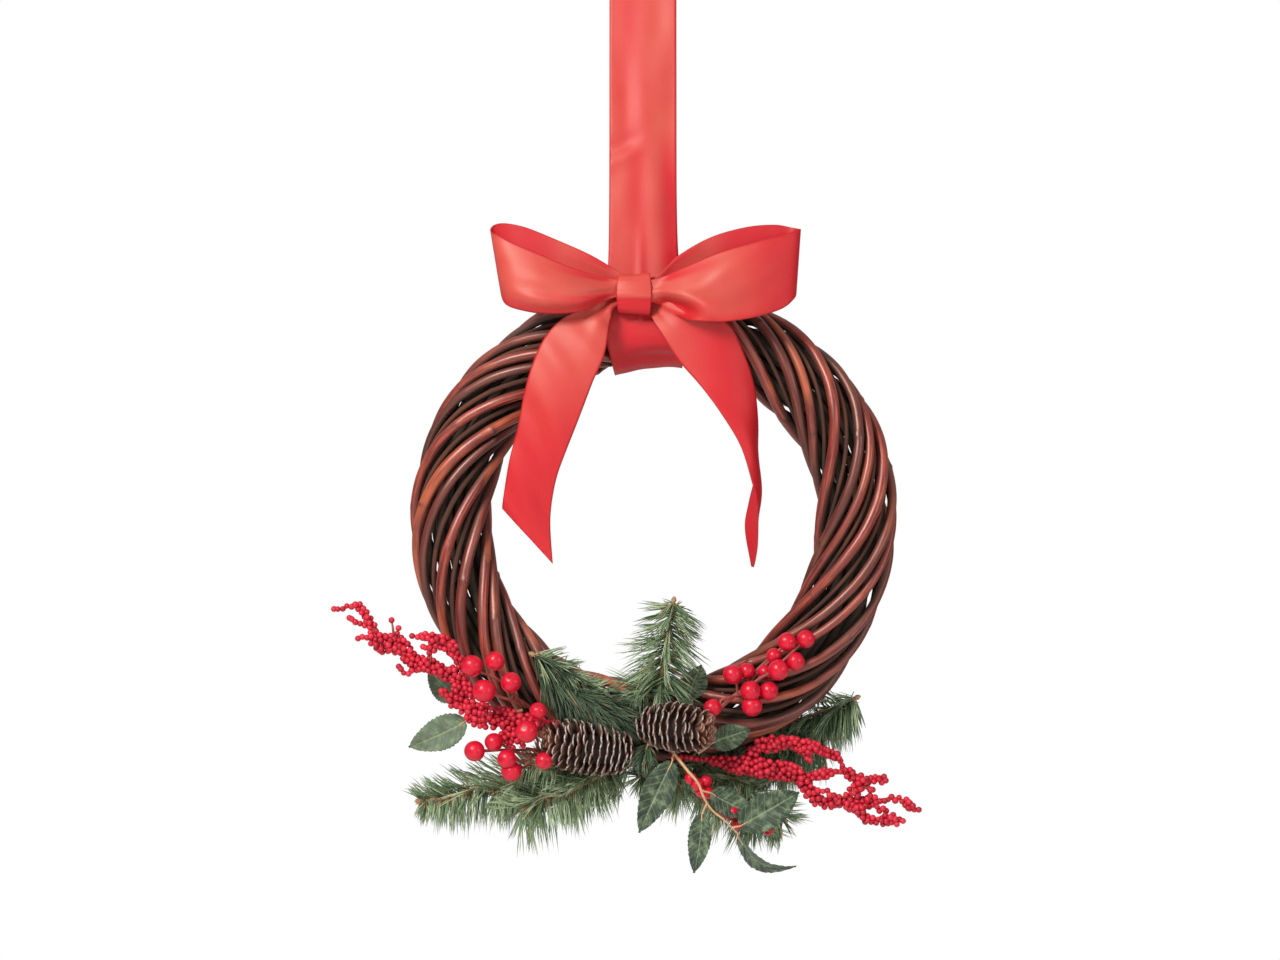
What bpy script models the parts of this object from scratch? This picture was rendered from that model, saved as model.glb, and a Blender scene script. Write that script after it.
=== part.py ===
# A hanging wicker wreath: a ring of wound willow rods on a ribbon loop, with a bow
# at its top and picks of fir, berries, leaves and cones at its bottom.
#
# Metres, +Z up, seen from the front along +Y. The origin is where the ribbon loop
# hangs on its hook. Every piece is given from the ring's centre, and moved at the end.

import math

import bmesh
import bpy
from mathutils import Matrix, Vector
from mathutils.bvhtree import BVHTree

# The ring and its place under the hook
RING_DROP = 0.350
RING_ASIDE = 0.0068
RING_RADIUS = 0.124
TUBE_RADIUS = 0.026
CLEARANCE = 0.0003
GOLDEN_TURN = math.radians(137.508)

# Willow rods: the outer ones wind round the ring and lie on the middle ones, which lie
# on the core ones. A seat is the radius of the surface that a layer lies on.
ROD_BUTT = 0.0035
ROD_TIP = 0.0026
OUTER_TURNS = 3
OUTER_PHASES = (0, 23, 66, 101, 124, 170, 213, 236, 282, 321)
OUTER_SEAT = TUBE_RADIUS - 2 * ROD_BUTT
MIDDLE_TURNS = 1
MIDDLE_PHASES = (10, 70, 131, 190, 250, 310)
MIDDLE_ROD = 0.0029
LAYER_GAP = 0.0011
MIDDLE_SEAT = OUTER_SEAT - LAYER_GAP - 2 * MIDDLE_ROD
CORE_PHASES = (40, 220)
CORE_ROD = 0.0028
CORE_SEAT = MIDDLE_SEAT - LAYER_GAP - 2 * CORE_ROD
ROD_END_GAP = math.radians(2.4)

# Ribbon
RIBBON_WIDTH = 0.041
RIBBON_THICKNESS = 0.0008
LOOP_RADIUS = 0.0074
WRAP_RADIUS = TUBE_RADIUS + 0.0013
WRAP_WIDTH = 0.050
WRAP_SLACK = 0.0055
KNOT_HEIGHT = 0.1405
KNOT_ASIDE = -0.0108

# Foliage
NEEDLE_SPACING = 0.0033
TWIG_ROOT = 0.0014
TWIG_TIP = 0.0009
NEEDLE_ROOM = 0.0014
LEAF_THICKNESS = 0.0008
LEAF_TOOTH = 0.11
SMALL_BERRY = 0.0023
SMALL_BERRY_SPACING = 0.0057
BERRY_TWIG = 0.0010
STALK_RADIUS = 0.0007

# How much the needles of a spray lean forward, how much they hang, how long they are
UPRIGHT_HABIT = (0.25, 0.35, 0.0215)
SWEPT_HABIT = (0.65, 0.15, 0.0230)
LEFT_HABIT = (0.55, 0.45, 0.0230)
HANGING_HABIT = (0.45, 0.75, 0.0240)
LOW_HABIT = (0.45, 0.65, 0.0230)

# Ways to slide a piece until it rests on the others
TO_BACK = (0, 1, 0)
TO_TOP = (0, 0, 1)
TO_TOP_SLANTING = (0, 0.3, 1)

PLACED = []


def clear_scene():
    for thing in list(bpy.data.objects):
        bpy.data.objects.remove(thing)


def make_material(name, colour, roughness, metallic=0.0):
    material = bpy.data.materials.new(name)
    material.use_nodes = True
    shader = material.node_tree.nodes["Principled BSDF"]
    shader.inputs["Base Color"].default_value = (*colour, 1.0)
    shader.inputs["Roughness"].default_value = roughness
    shader.inputs["Metallic"].default_value = metallic
    return material


def make_object(name, mesh, material=None):
    """A new object from a bmesh, with a material if it stays in the scene."""
    data = bpy.data.meshes.new(name)
    mesh.to_mesh(data)
    mesh.free()
    thing = bpy.data.objects.new(name, data)
    if material:
        data.materials.append(material)
        bpy.context.scene.collection.objects.link(thing)
    return thing


def evaluated_mesh(thing):
    bpy.context.view_layer.update()
    graph = bpy.context.evaluated_depsgraph_get()
    return bpy.data.meshes.new_from_object(thing.evaluated_get(graph))


def corners_and_faces(thing):
    """The object's evaluated corners, from the ring's centre, and its faces."""
    mesh = evaluated_mesh(thing)
    corners = [vertex.co + thing.location for vertex in mesh.vertices]
    faces = [tuple(face.vertices) for face in mesh.polygons]
    bpy.data.meshes.remove(mesh)
    return corners, faces


def place(thing):
    """Notes a finished piece, so that later ones keep clear of it."""
    PLACED.append(corners_and_faces(thing))
    return thing


def tree_of_placed():
    corners = []
    faces = []
    for some_corners, some_faces in PLACED:
        first = len(corners)
        corners += some_corners
        faces += [tuple(first + index for index in face) for face in some_faces]
    return BVHTree.FromPolygons(corners, faces)


def seated_shift(things, towards, reach=0.04):
    """How far to slide the things until they lie a hair off what carries them."""
    step = 0.0005
    fine_step = 0.00002
    direction = Vector(towards).normalized()
    shapes = [corners_and_faces(thing) for thing in things]
    placed = tree_of_placed()

    def blocked(travel):
        for corners, faces in shapes:
            moved = [corner + direction * travel for corner in corners]
            if BVHTree.FromPolygons(moved, faces).overlap(placed):
                return True
        return False

    travel = 0.0
    while blocked(travel):
        travel -= step
    while not blocked(travel + step):
        travel += step
        if travel > reach:
            raise ValueError(things[0].name + " meets nothing to rest on")
    while not blocked(travel + fine_step):
        travel += fine_step
    return direction * (travel - CLEARANCE)


def seat(thing, towards=TO_BACK):
    thing.location = thing.location + seated_shift([thing], towards)
    return thing


def fuse(core, parts):
    """Joins the parts to the core in one closed body, and removes them."""
    group = bpy.data.collections.new(core.name + "_parts")
    for part in parts:
        group.objects.link(part)
    union = core.modifiers.new("union", "BOOLEAN")
    union.operation = "UNION"
    union.solver = "MANIFOLD"
    union.operand_type = "COLLECTION"
    union.collection = group
    joined = evaluated_mesh(core)
    core.modifiers.remove(union)
    core.data = joined
    for part in parts:
        bpy.data.objects.remove(part)
    bpy.data.collections.remove(group)
    return core


def smooth_line(points, count):
    """A smooth curve through the points, as count points evenly spread along them."""
    points = [Vector(point) for point in points]
    line = []
    spans = len(points) - 1
    for index in range(count):
        place_along = index * spans / (count - 1)
        span = min(int(place_along), spans - 1)
        t = place_along - span
        here, there = points[span], points[span + 1]
        before = points[span - 1] if span else here * 2 - there
        after = points[span + 2] if span + 2 < len(points) else there * 2 - here
        line.append(
            0.5 * ((2 * here)
                   + (there - before) * t
                   + (2 * before - 5 * here + 4 * there - after) * t ** 2
                   + (3 * here - before - 3 * there + after) * t ** 3)
        )
    return line


def rings_along(line, radius_at, sides, twist=0.0):
    """Rows of points round a line, each turned by twist from the last. radius_at takes
    the share along."""
    rings = []
    last = len(line) - 1
    normal = None
    for index, point in enumerate(line):
        ahead = (line[min(index + 1, last)] - line[max(index - 1, 0)]).normalized()
        normal = normal or ahead.orthogonal()
        normal = (normal - ahead * normal.dot(ahead)).normalized()
        side = ahead.cross(normal)
        radius = radius_at(index / last)
        turns = [2 * math.pi * k / sides + index * twist for k in range(sides)]
        rings.append([
            point + radius * (math.cos(turn) * normal + math.sin(turn) * side) for turn in turns
        ])
    return rings


def tube(name, line, radius_at, sides, material=None):
    """A tapering tube along a line, with flat ends."""
    mesh = bmesh.new()
    rings = [
        [mesh.verts.new(point) for point in ring] for ring in rings_along(line, radius_at, sides)
    ]
    for lower, upper in zip(rings, rings[1:]):
        for k in range(sides):
            after = (k + 1) % sides
            mesh.faces.new((lower[k], lower[after], upper[after], upper[k]))
    mesh.faces.new(list(reversed(rings[0])))
    mesh.faces.new(rings[-1])
    thing = make_object(name, mesh, material)
    thing.data.shade_smooth()
    return thing


def taper(first, last):
    return lambda share: first + (last - first) * share


# Willow rods

def rod_point(theta, layer, phase, turns):
    """Where a rod is at an angle round the ring. Front strands run outwards as theta grows."""
    sway = math.radians(9) * math.sin(2 * theta + 0.6) + math.radians(5) * math.sin(3 * theta + 2.1)
    phi = phase - turns * theta + sway
    bulge = 0.0012 * math.sin(2 * theta + 0.9) + 0.0008 * math.sin(5 * theta)
    outwards = RING_RADIUS + bulge + layer * math.cos(phi)
    return Vector((
        outwards * math.cos(theta),
        -layer * math.sin(phi),
        outwards * math.sin(theta),
    ))


def willow_rod(name, seat_radius, phase, turns, radius_at, start, steps, sides, material):
    """One rod, once round the ring, whose cut ends nearly meet."""
    sweep = 2 * math.pi - ROD_END_GAP
    line = []
    for k in range(steps + 1):
        theta = start + ROD_END_GAP / 2 + sweep * k / steps
        line.append(rod_point(theta, seat_radius + radius_at(k / steps), phase, turns))
    return place(tube(name, line, radius_at, sides, material))


def willow_ring(material):
    at_the_back = math.radians(-90)
    for index, degrees in enumerate(OUTER_PHASES):
        phase = math.radians(degrees)
        third = math.radians(120) * (index % OUTER_TURNS)
        start = (phase - at_the_back) / OUTER_TURNS + third
        willow_rod(
            f"rod_outer_{index + 1:02d}", OUTER_SEAT, phase, OUTER_TURNS,
            taper(ROD_BUTT, ROD_TIP), start, 34, 5, material,
        )
    for index, degrees in enumerate(MIDDLE_PHASES):
        willow_rod(
            f"rod_middle_{index + 1}", MIDDLE_SEAT, math.radians(degrees), MIDDLE_TURNS,
            taper(MIDDLE_ROD, MIDDLE_ROD), math.radians(degrees) - at_the_back, 28, 4, material,
        )
    for index, degrees in enumerate(CORE_PHASES):
        willow_rod(
            f"rod_core_{index + 1}", CORE_SEAT, math.radians(degrees), 0,
            taper(CORE_ROD, CORE_ROD), math.radians(120 * index), 20, 4, material,
        )


# Ribbon

def ribbon(name, rungs, material, closed=False):
    """A strip of ribbon over rungs, which are rows of points across it."""
    mesh = bmesh.new()
    rows = [[mesh.verts.new(point) for point in rung] for rung in rungs]
    pairs = list(zip(rows, rows[1:] + rows[:1])) if closed else list(zip(rows, rows[1:]))
    for near, far in pairs:
        for k in range(len(near) - 1):
            mesh.faces.new((near[k], near[k + 1], far[k + 1], far[k]))
    bmesh.ops.triangulate(mesh, faces=mesh.faces[:])
    thing = make_object(name, mesh, material)
    solidify = thing.modifiers.new("thickness", "SOLIDIFY")
    solidify.thickness = RIBBON_THICKNESS
    solidify.offset = 0.0
    thing.data.shade_smooth()
    return thing


def rungs_between(left_points, right_points, count, across):
    """Straight rungs from one smooth edge to the other."""
    pairs = zip(smooth_line(left_points, count), smooth_line(right_points, count))
    return [[left.lerp(right, k / across) for k in range(across + 1)] for left, right in pairs]


def wrapped_point(x, share, turn):
    """A spot of the ribbon under the ring, which lies slack along one edge."""
    theta = math.asin(x / RING_RADIUS)
    slack = WRAP_SLACK * (1 - share) / 2 * max(-math.cos(turn), 0) ** 2
    reach = RING_RADIUS + WRAP_RADIUS * math.cos(turn) - slack
    return Vector((math.sin(theta) * reach, -WRAP_RADIUS * math.sin(turn), math.cos(theta) * reach))


def strap_point(x, bend, side, descent):
    """A spot of the straight ribbon in front of the ring (side -1) or behind it (side 1)."""
    top = RING_DROP - LOOP_RADIUS
    bottom = math.sqrt(RING_RADIUS ** 2 - x ** 2)
    y = side * (bend + (WRAP_RADIUS - bend) * descent)
    return Vector((x, y, top + (bottom - top) * descent))


def hanging_ribbon(material):
    """A closed band: down in front of the ring, under it and up behind it to the hook."""
    bend = LOOP_RADIUS + RIBBON_THICKNESS / 2
    steps = 4
    widening = 10
    front = [("front", k / steps) for k in range(steps + 1)]
    under = [("under", math.radians(90 + 20 * k)) for k in range(1, 9)]
    back = [("back", 1 - k / steps) for k in range(steps + 1)]
    over = [("over", math.radians(30 * k)) for k in range(1, 6)]
    rungs = []
    for kind, value in front + under + back + over:
        spread = {"over": 0.0, "under": 1.0}.get(kind, value)
        width = RIBBON_WIDTH + (WRAP_WIDTH - RIBBON_WIDTH) * spread ** widening
        rung = []
        for share in (-1, -0.33, 0.33, 1):
            x = share * width / 2 - RING_ASIDE
            if kind == "over":
                height = RING_DROP - LOOP_RADIUS + bend * math.sin(value)
                rung.append(Vector((x, bend * math.cos(value), height)))
            elif kind == "under":
                rung.append(wrapped_point(x, share, value))
            else:
                rung.append(strap_point(x, bend, -1 if kind == "front" else 1, value))
        rungs.append(rung)
    return place(ribbon("hanging_ribbon", rungs, material, closed=True))


def bow_band(material):
    """The narrow strip round the middle of the bow, just in front of the hanging ribbon."""
    half_width = 0.0112
    half_height = 0.0132
    half_depth = 0.0058
    corner = 0.0022
    middle_depth = -(WRAP_RADIUS + 0.0006 + half_depth)
    rungs = []
    for k in range(16):
        quarter, step = divmod(k, 4)
        turn = math.radians(90 * quarter + 30 * step)
        side_y = -1 if quarter in (0, 3) else 1
        side_z = 1 if quarter in (0, 1) else -1
        y = middle_depth + side_y * (half_depth - corner) - corner * math.cos(turn)
        z = KNOT_HEIGHT + side_z * (half_height - corner) + corner * math.sin(turn)
        rungs.append([
            Vector((KNOT_ASIDE + share * half_width, y, z)) for share in (-1, 0, 1)
        ])
    return place(ribbon("bow_band", rungs, material, closed=True))


def bow_loops(material):
    """One closed strip, pinched in the middle: the front of both loops, then the back."""
    upper_front = [
        (-0.0996, -0.0370, 0.1777), (-0.0840, -0.0480, 0.1705), (-0.0640, -0.0520, 0.1610),
        (-0.0430, -0.0470, 0.1530), (-0.0250, -0.0384, 0.1478), (-0.0108, -0.0384, 0.1470),
        (0.0030, -0.0384, 0.1485), (0.0180, -0.0460, 0.1560), (0.0400, -0.0530, 0.1665),
        (0.0640, -0.0520, 0.1745), (0.0858, -0.0390, 0.1800),
    ]
    lower_front = [
        (-0.0905, -0.0370, 0.1330), (-0.0780, -0.0480, 0.1295), (-0.0600, -0.0530, 0.1290),
        (-0.0420, -0.0480, 0.1335), (-0.0240, -0.0384, 0.1385), (-0.0108, -0.0384, 0.1355),
        (0.0030, -0.0384, 0.1325), (0.0180, -0.0460, 0.1275), (0.0400, -0.0540, 0.1245),
        (0.0640, -0.0530, 0.1275), (0.0850, -0.0390, 0.1345),
    ]
    upper_back = [
        (0.0880, -0.0335, 0.1806), (0.0740, -0.0320, 0.1835), (0.0560, -0.0325, 0.1812),
        (0.0350, -0.0325, 0.1745), (0.0140, -0.0325, 0.1600), (0.0030, -0.0306, 0.1500),
        (-0.0108, -0.0305, 0.1470), (-0.0245, -0.0306, 0.1530), (-0.0430, -0.0325, 0.1655),
        (-0.0640, -0.0325, 0.1745), (-0.0860, -0.0320, 0.1838), (-0.0985, -0.0335, 0.1812),
    ]
    lower_back = [
        (0.0868, -0.0335, 0.1352), (0.0760, -0.0320, 0.1380), (0.0580, -0.0325, 0.1375),
        (0.0370, -0.0325, 0.1375), (0.0160, -0.0325, 0.1375), (0.0030, -0.0306, 0.1370),
        (-0.0108, -0.0305, 0.1350), (-0.0245, -0.0306, 0.1375), (-0.0430, -0.0325, 0.1385),
        (-0.0640, -0.0325, 0.1385), (-0.0820, -0.0320, 0.1365), (-0.0925, -0.0335, 0.1330),
    ]
    upper = upper_front + upper_back + upper_front[:1]
    lower = lower_front + lower_back + lower_front[:1]
    rungs = rungs_between(upper, lower, 33, 3)
    return place(ribbon("bow_loops", rungs[:-1], material, closed=True))


def bow_tails(material):
    """One strip with slanting cut ends, bent over behind the middle of the bow."""
    left_edge = [
        (-0.0922, -0.0290, 0.0092), (-0.0910, -0.0300, 0.0190), (-0.0873, -0.0315, 0.0400),
        (-0.0824, -0.0330, 0.0584), (-0.0787, -0.0345, 0.0781), (-0.0732, -0.0350, 0.0972),
        (-0.0664, -0.0345, 0.1119), (-0.0560, -0.0335, 0.1236), (-0.0400, -0.0320, 0.1316),
        (-0.0240, -0.0291, 0.1400), (-0.0108, -0.0291, 0.1420),
        (0.0010, -0.0291, 0.1390), (0.0120, -0.0300, 0.1345), (0.0300, -0.0330, 0.1300),
        (0.0455, -0.0345, 0.1200), (0.0540, -0.0350, 0.1040), (0.0600, -0.0345, 0.0870),
        (0.0626, -0.0330, 0.0690), (0.0632, -0.0290, 0.0510), (0.0618, -0.0160, 0.0300),
        (0.0578, -0.0130, 0.0120), (0.0555, -0.0180, -0.0030), (0.0592, -0.0235, -0.0262),
    ]
    right_edge = [
        (-0.0615, -0.0270, -0.0246), (-0.0630, -0.0290, 0.0020), (-0.0600, -0.0330, 0.0250),
        (-0.0550, -0.0355, 0.0430), (-0.0480, -0.0370, 0.0640), (-0.0392, -0.0375, 0.0850),
        (-0.0325, -0.0370, 0.1010), (-0.0285, -0.0355, 0.1170), (-0.0250, -0.0335, 0.1240),
        (-0.0215, -0.0291, 0.1310), (-0.0108, -0.0291, 0.1340),
        (0.0000, -0.0291, 0.1310), (0.0035, -0.0305, 0.1235), (0.0070, -0.0345, 0.1130),
        (0.0160, -0.0365, 0.0980), (0.0290, -0.0380, 0.0820), (0.0410, -0.0390, 0.0655),
        (0.0520, -0.0400, 0.0470), (0.0588, -0.0420, 0.0265), (0.0645, -0.0400, 0.0110),
        (0.0640, -0.0370, -0.0030), (0.0628, -0.0330, -0.0150), (0.0608, -0.0270, -0.0266),
    ]
    rungs = rungs_between(left_edge, right_edge, 31, 2)
    return place(ribbon("bow_tails", rungs, material))


# Cones

def cone(name, middle, axis, length, radius, material):
    """A closed fir cone: staggered rows of wedge scales on a spindle, free edges to its tip."""
    axis = Vector(axis).normalized()
    across = axis.orthogonal().normalized()
    around = 8
    rows = 10
    core_share = 0.74

    def outline(share):
        return radius * math.sin(math.pi * (0.10 + 0.78 * share)) ** 0.6

    def spot(row, column, reach):
        share = row / rows
        turn = 2 * math.pi * (column + 0.5 * row) / around
        outwards = Matrix.Rotation(turn, 3, axis) @ across
        return Vector(middle) + axis * length * (share - 0.5) + outwards * outline(share) * reach

    mesh = bmesh.new()
    corners = [
        [mesh.verts.new(spot(row, column, core_share)) for column in range(around)]
        for row in range(rows + 1)
    ]
    for row in range(1, rows):
        lean = axis * length / rows * (0.1 + 0.5 * row / rows)
        for column in range(around):
            after = (column + 1) % around
            base = [corners[row - 1][after], corners[row][after],
                    corners[row + 1][column], corners[row][column]]
            centre = sum((corner.co for corner in base), Vector()) / 4
            rise = (spot(row, column + 0.5, 1.0) - spot(row, column + 0.5, core_share)) + lean
            top = []
            for corner, spread, lift in zip(base, (0.3, 0.86, 0.7, 0.86), (0.35, 0.9, 1.0, 0.9)):
                top.append(mesh.verts.new(centre + (corner.co - centre) * spread + rise * lift))
            mesh.faces.new(top)
            for k in range(4):
                following = (k + 1) % 4
                mesh.faces.new((base[k], base[following], top[following], top[k]))
    for column in range(around):
        after = (column + 1) % around
        mesh.faces.new((corners[0][column], corners[0][after], corners[1][column]))
        mesh.faces.new((corners[rows - 1][after], corners[rows][after], corners[rows][column]))
    mesh.faces.new(list(reversed(corners[0])))
    mesh.faces.new(corners[rows])
    bmesh.ops.triangulate(mesh, faces=mesh.faces[:])
    bmesh.ops.recalc_face_normals(mesh, faces=mesh.faces[:])
    return place(seat(make_object(name, mesh, material)))


# Berries

def stalked_berry(name, start, centre, radius):
    """A round berry and its stalk, as one tube that swells."""
    ahead = (centre - start).normalized()
    line = [start]
    radii = [STALK_RADIUS]
    for along, girth in ((-1.0, STALK_RADIUS / radius), (-0.55, 0.84), (0.3, 0.97), (0.92, 0.42)):
        line.append(centre + ahead * along * radius)
        radii.append(girth * radius)
    return tube(name, line, lambda share: radii[round(share * (len(line) - 1))], 6)


def berry_bunch(name, root, hub, berries, material, towards=TO_BACK):
    """Round berries, each on its stalk from a short stem."""
    root, hub = Vector(root), Vector(hub)
    core = tube(name, (root, root.lerp(hub, 0.5), hub), taper(0.0013, 0.0013), 4, material)
    parts = []
    for index, (x, y, z, radius) in enumerate(berries):
        centre = Vector((x, y, z))
        start = root.lerp(hub, 0.5 + 0.45 * ((index * 0.618) % 1))
        parts.append(stalked_berry(f"{name}_{index}", start, centre, radius))
    return place(seat(fuse(core, parts), towards))


def raise_berry(mesh, base, outwards, distance):
    """Draws a twenty-sided berry out of a twig's triangle, given counterclockwise."""
    root = sum((corner.co for corner in base), Vector()) / 3
    across = (base[0].co - root - outwards * (base[0].co - root).dot(outwards)).normalized()
    side = outwards.cross(across)
    centre = root + outwards * distance
    previous = base
    for index, (height, girth) in enumerate(((-0.795, 0.607), (-0.188, 0.982),
                                             (0.188, 0.982), (0.795, 0.607))):
        ring = []
        for k in range(3):
            turn = math.radians(60 * (index + 1) + 120 * k)
            reach = across * math.cos(turn) + side * math.sin(turn)
            spot = centre + (outwards * height + reach * girth) * SMALL_BERRY
            ring.append(mesh.verts.new(spot))
        for k in range(3):
            after = (k + 1) % 3
            mesh.faces.new((previous[k], previous[after], ring[k]))
            mesh.faces.new((ring[k], previous[after], ring[after]))
        previous = ring
    mesh.faces.new(previous)


def berry_arm(name, points, bare, material=None):
    """A slim twig with small berries drawn out of it all round."""
    fine = smooth_line(points, 60)
    length = sum((b - a).length for a, b in zip(fine, fine[1:]))
    steps = max(round(length / SMALL_BERRY_SPACING), 2)
    line = smooth_line(points, steps + 1)
    mesh = bmesh.new()
    girth = taper(BERRY_TWIG, BERRY_TWIG)
    rings = [[mesh.verts.new(spot) for spot in ring] for ring in rings_along(line, girth, 3, 0.35)]
    for index, (lower, upper) in enumerate(zip(rings, rings[1:])):
        bearing = index % 3
        for k in range(3):
            after = (k + 1) % 3
            mesh.faces.new((lower[k], lower[after], upper[after]))
            base = (lower[k], upper[after], upper[k])
            if k == bearing and bare <= index < steps - 1:
                axis = (line[index + 1] - line[index]).normalized()
                outwards = sum((corner.co for corner in base), Vector()) / 3 - line[index]
                outwards = (outwards - axis * outwards.dot(axis)).normalized()
                raise_berry(mesh, base, outwards, SMALL_BERRY * (1.15 + 0.4 * (index % 2)))
            else:
                mesh.faces.new(base)
    mesh.faces.new(list(reversed(rings[0])))
    raise_berry(mesh, rings[-1], (line[-1] - line[-2]).normalized(), SMALL_BERRY)
    return make_object(name, mesh, material)


def berry_spray(name, arms, material, towards=TO_BACK):
    """Arms of small berries. The first arm carries the others."""
    core = berry_arm(name, arms[0], 2, material)
    parts = [berry_arm(f"{name}_arm_{index}", arm, 1) for index, arm in enumerate(arms[1:])]
    return place(seat(fuse(core, parts), towards))


# Leaves

def leaf(name, joint, base, tip, width, arch, facing):
    """A saw-edged blade and its stalk. arch lifts its middle, facing says where it looks."""
    joint, base, tip = Vector(joint), Vector(base), Vector(tip)
    along = tip - base
    sideways = along.cross(Vector(facing)).normalized()
    lift = along.cross(sideways).normalized()
    stations = 9
    fold = 0.16
    stalk_width = 0.0018
    middles = [joint]
    halves = [stalk_width / 2]
    for k in range(stations):
        share = k / (stations - 1)
        half = 0.5 * width * math.sin(math.pi * min(share ** 0.8 * 0.95 + 0.05, 0.99)) ** 0.75
        tooth = 1 + LEAF_TOOTH if k % 2 else 1
        middles.append(base + along * share + lift * arch * along.length * math.sin(math.pi * share))
        halves.append(max(half * tooth, stalk_width / 2))
    mesh = bmesh.new()
    rows = []
    for middle, half in zip(middles, halves):
        edge_drop = lift * -fold * half
        rows.append([
            mesh.verts.new(middle - sideways * half + edge_drop),
            mesh.verts.new(middle),
            mesh.verts.new(middle + sideways * half + edge_drop),
        ])
    for near, far in zip(rows, rows[1:]):
        for k in range(2):
            mesh.faces.new((near[k], near[k + 1], far[k + 1], far[k]))
    bmesh.ops.triangulate(mesh, faces=mesh.faces[:])
    blade = make_object(name, mesh)
    solidify = blade.modifiers.new("thickness", "SOLIDIFY")
    solidify.thickness = LEAF_THICKNESS
    solidify.offset = 0.0
    bpy.context.scene.collection.objects.link(blade)
    thick = evaluated_mesh(blade)
    blade.modifiers.clear()
    blade.data = thick
    bpy.context.scene.collection.objects.unlink(blade)
    return blade


def leafy_stem(name, stem, leaves, material, towards=TO_BACK):
    """A stem and its leaves, each given as joint on the stem, base, tip, width, arch, facing."""
    core = tube(name, smooth_line(stem, len(stem) + 1), taper(0.0013, 0.0011), 4, material)
    blades = [leaf(f"{name}_blade_{index}", *shape) for index, shape in enumerate(leaves)]
    return place(seat(fuse(core, blades), towards))


# Fir

def is_clear(start, end, shift, placed, neighbours):
    """Whether a needle keeps clear of every placed piece and of the needles beside it."""
    samples = max(int((end - start).length / NEEDLE_ROOM), 1)
    for k in range(samples + 1):
        spot = start.lerp(end, k / samples)
        if placed.find_nearest(spot + shift, NEEDLE_ROOM)[0] is not None:
            return False
        if k > 1 and any((spot - other).length < 0.7 * NEEDLE_ROOM for other in neighbours):
            return False
    return True


def needle_tip(root, direction, length, shift, placed, neighbours):
    """How far a needle can reach, or None where it has no room."""
    for portion in (1.0, 0.7, 0.45):
        tip = root + direction * length * portion
        if is_clear(root, tip, shift, placed, neighbours):
            samples = int(length * portion / NEEDLE_ROOM)
            neighbours += [root.lerp(tip, k / samples) for k in range(2, samples + 1)]
            return tip
    return None


def needled_twig(name, points, habit, shift, placed, bare, material=None):
    """A slim twig out of whose every side three-sided needles are drawn."""
    forward, droop, length = habit
    fine = smooth_line(points, 40)
    steps = round(sum((b - a).length for a, b in zip(fine, fine[1:])) / NEEDLE_SPACING)
    line = smooth_line(points, steps + 1)
    mesh = bmesh.new()
    neighbours = []
    rings = [
        [mesh.verts.new(spot) for spot in ring]
        for ring in rings_along(line, taper(TWIG_ROOT, TWIG_TIP), 4, math.radians(45))
    ]
    for index, (lower, upper) in enumerate(zip(rings, rings[1:])):
        axis = (line[index + 1] - line[index]).normalized()
        share = index / steps
        lean = axis * (forward + 1.4 * max(share - 0.85, 0) / 0.15)
        for k in range(4):
            after = (k + 1) % 4
            mesh.faces.new((upper[k], lower[after], upper[after]))
            base = (lower[k], lower[after], upper[k])
            root = (lower[k].co + lower[after].co + upper[k].co) / 3
            outwards = root - line[index]
            outwards = (outwards - axis * outwards.dot(axis)).normalized()
            hang = droop * (1 - 0.8 * max(outwards.z, 0))
            direction = (outwards + lean + Vector((0, 0, -hang))).normalized()
            reach = length * (1 - 0.25 * (((4 * index + k) * 0.618) % 1))
            tip = None
            if share >= bare:
                tip = needle_tip(root, direction, reach, shift, placed, neighbours)
            if tip:
                point = mesh.verts.new(tip)
                for here, there in zip(base, base[1:] + base[:1]):
                    mesh.faces.new((here, there, point))
            else:
                mesh.faces.new(base)
    mesh.faces.new(list(reversed(rings[0])))
    mesh.faces.new(rings[-1])
    return make_object(name, mesh, material)


def fir_spray(name, twigs, habit, material, towards):
    """A twig with side twigs, all set round with needles, which lean forward and hang.
    habit is how much they lean, how much they hang and how long they are."""
    bark = taper(TWIG_ROOT, TWIG_TIP)
    bare_twigs = [tube(f"{name}_{k}", smooth_line(twig, 15), bark, 8) for k, twig in enumerate(twigs)]
    for twig in bare_twigs:
        bpy.context.scene.collection.objects.link(twig)
    shift = seated_shift(bare_twigs, towards)
    for twig in bare_twigs:
        bpy.data.objects.remove(twig)
    placed = tree_of_placed()
    core = needled_twig(name, twigs[0], habit, shift, placed, 0.06, material)
    sides = [
        needled_twig(f"{name}_{index}", twig, habit, shift, placed, 0.25)
        for index, twig in enumerate(twigs[1:])
    ]
    if sides:
        fuse(core, sides)
    core.location = shift
    return place(core)


# The piece groups

def ribbons():
    satin = make_material("satin", (0.80, 0.03, 0.05), 0.35)
    hanging_ribbon(satin)
    bow_band(satin)
    bow_tails(satin)
    bow_loops(satin)


def cones():
    cone_scale = make_material("cone_scale", (0.13, 0.06, 0.04), 0.6)
    cone("cone_left", (-0.0415, -0.060, -0.1371), (-0.95, -0.22, 0.15), 0.056, 0.0170, cone_scale)
    cone("cone_right", (0.0160, -0.064, -0.1255), (0.92, -0.34, -0.08), 0.051, 0.0163, cone_scale)


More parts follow.
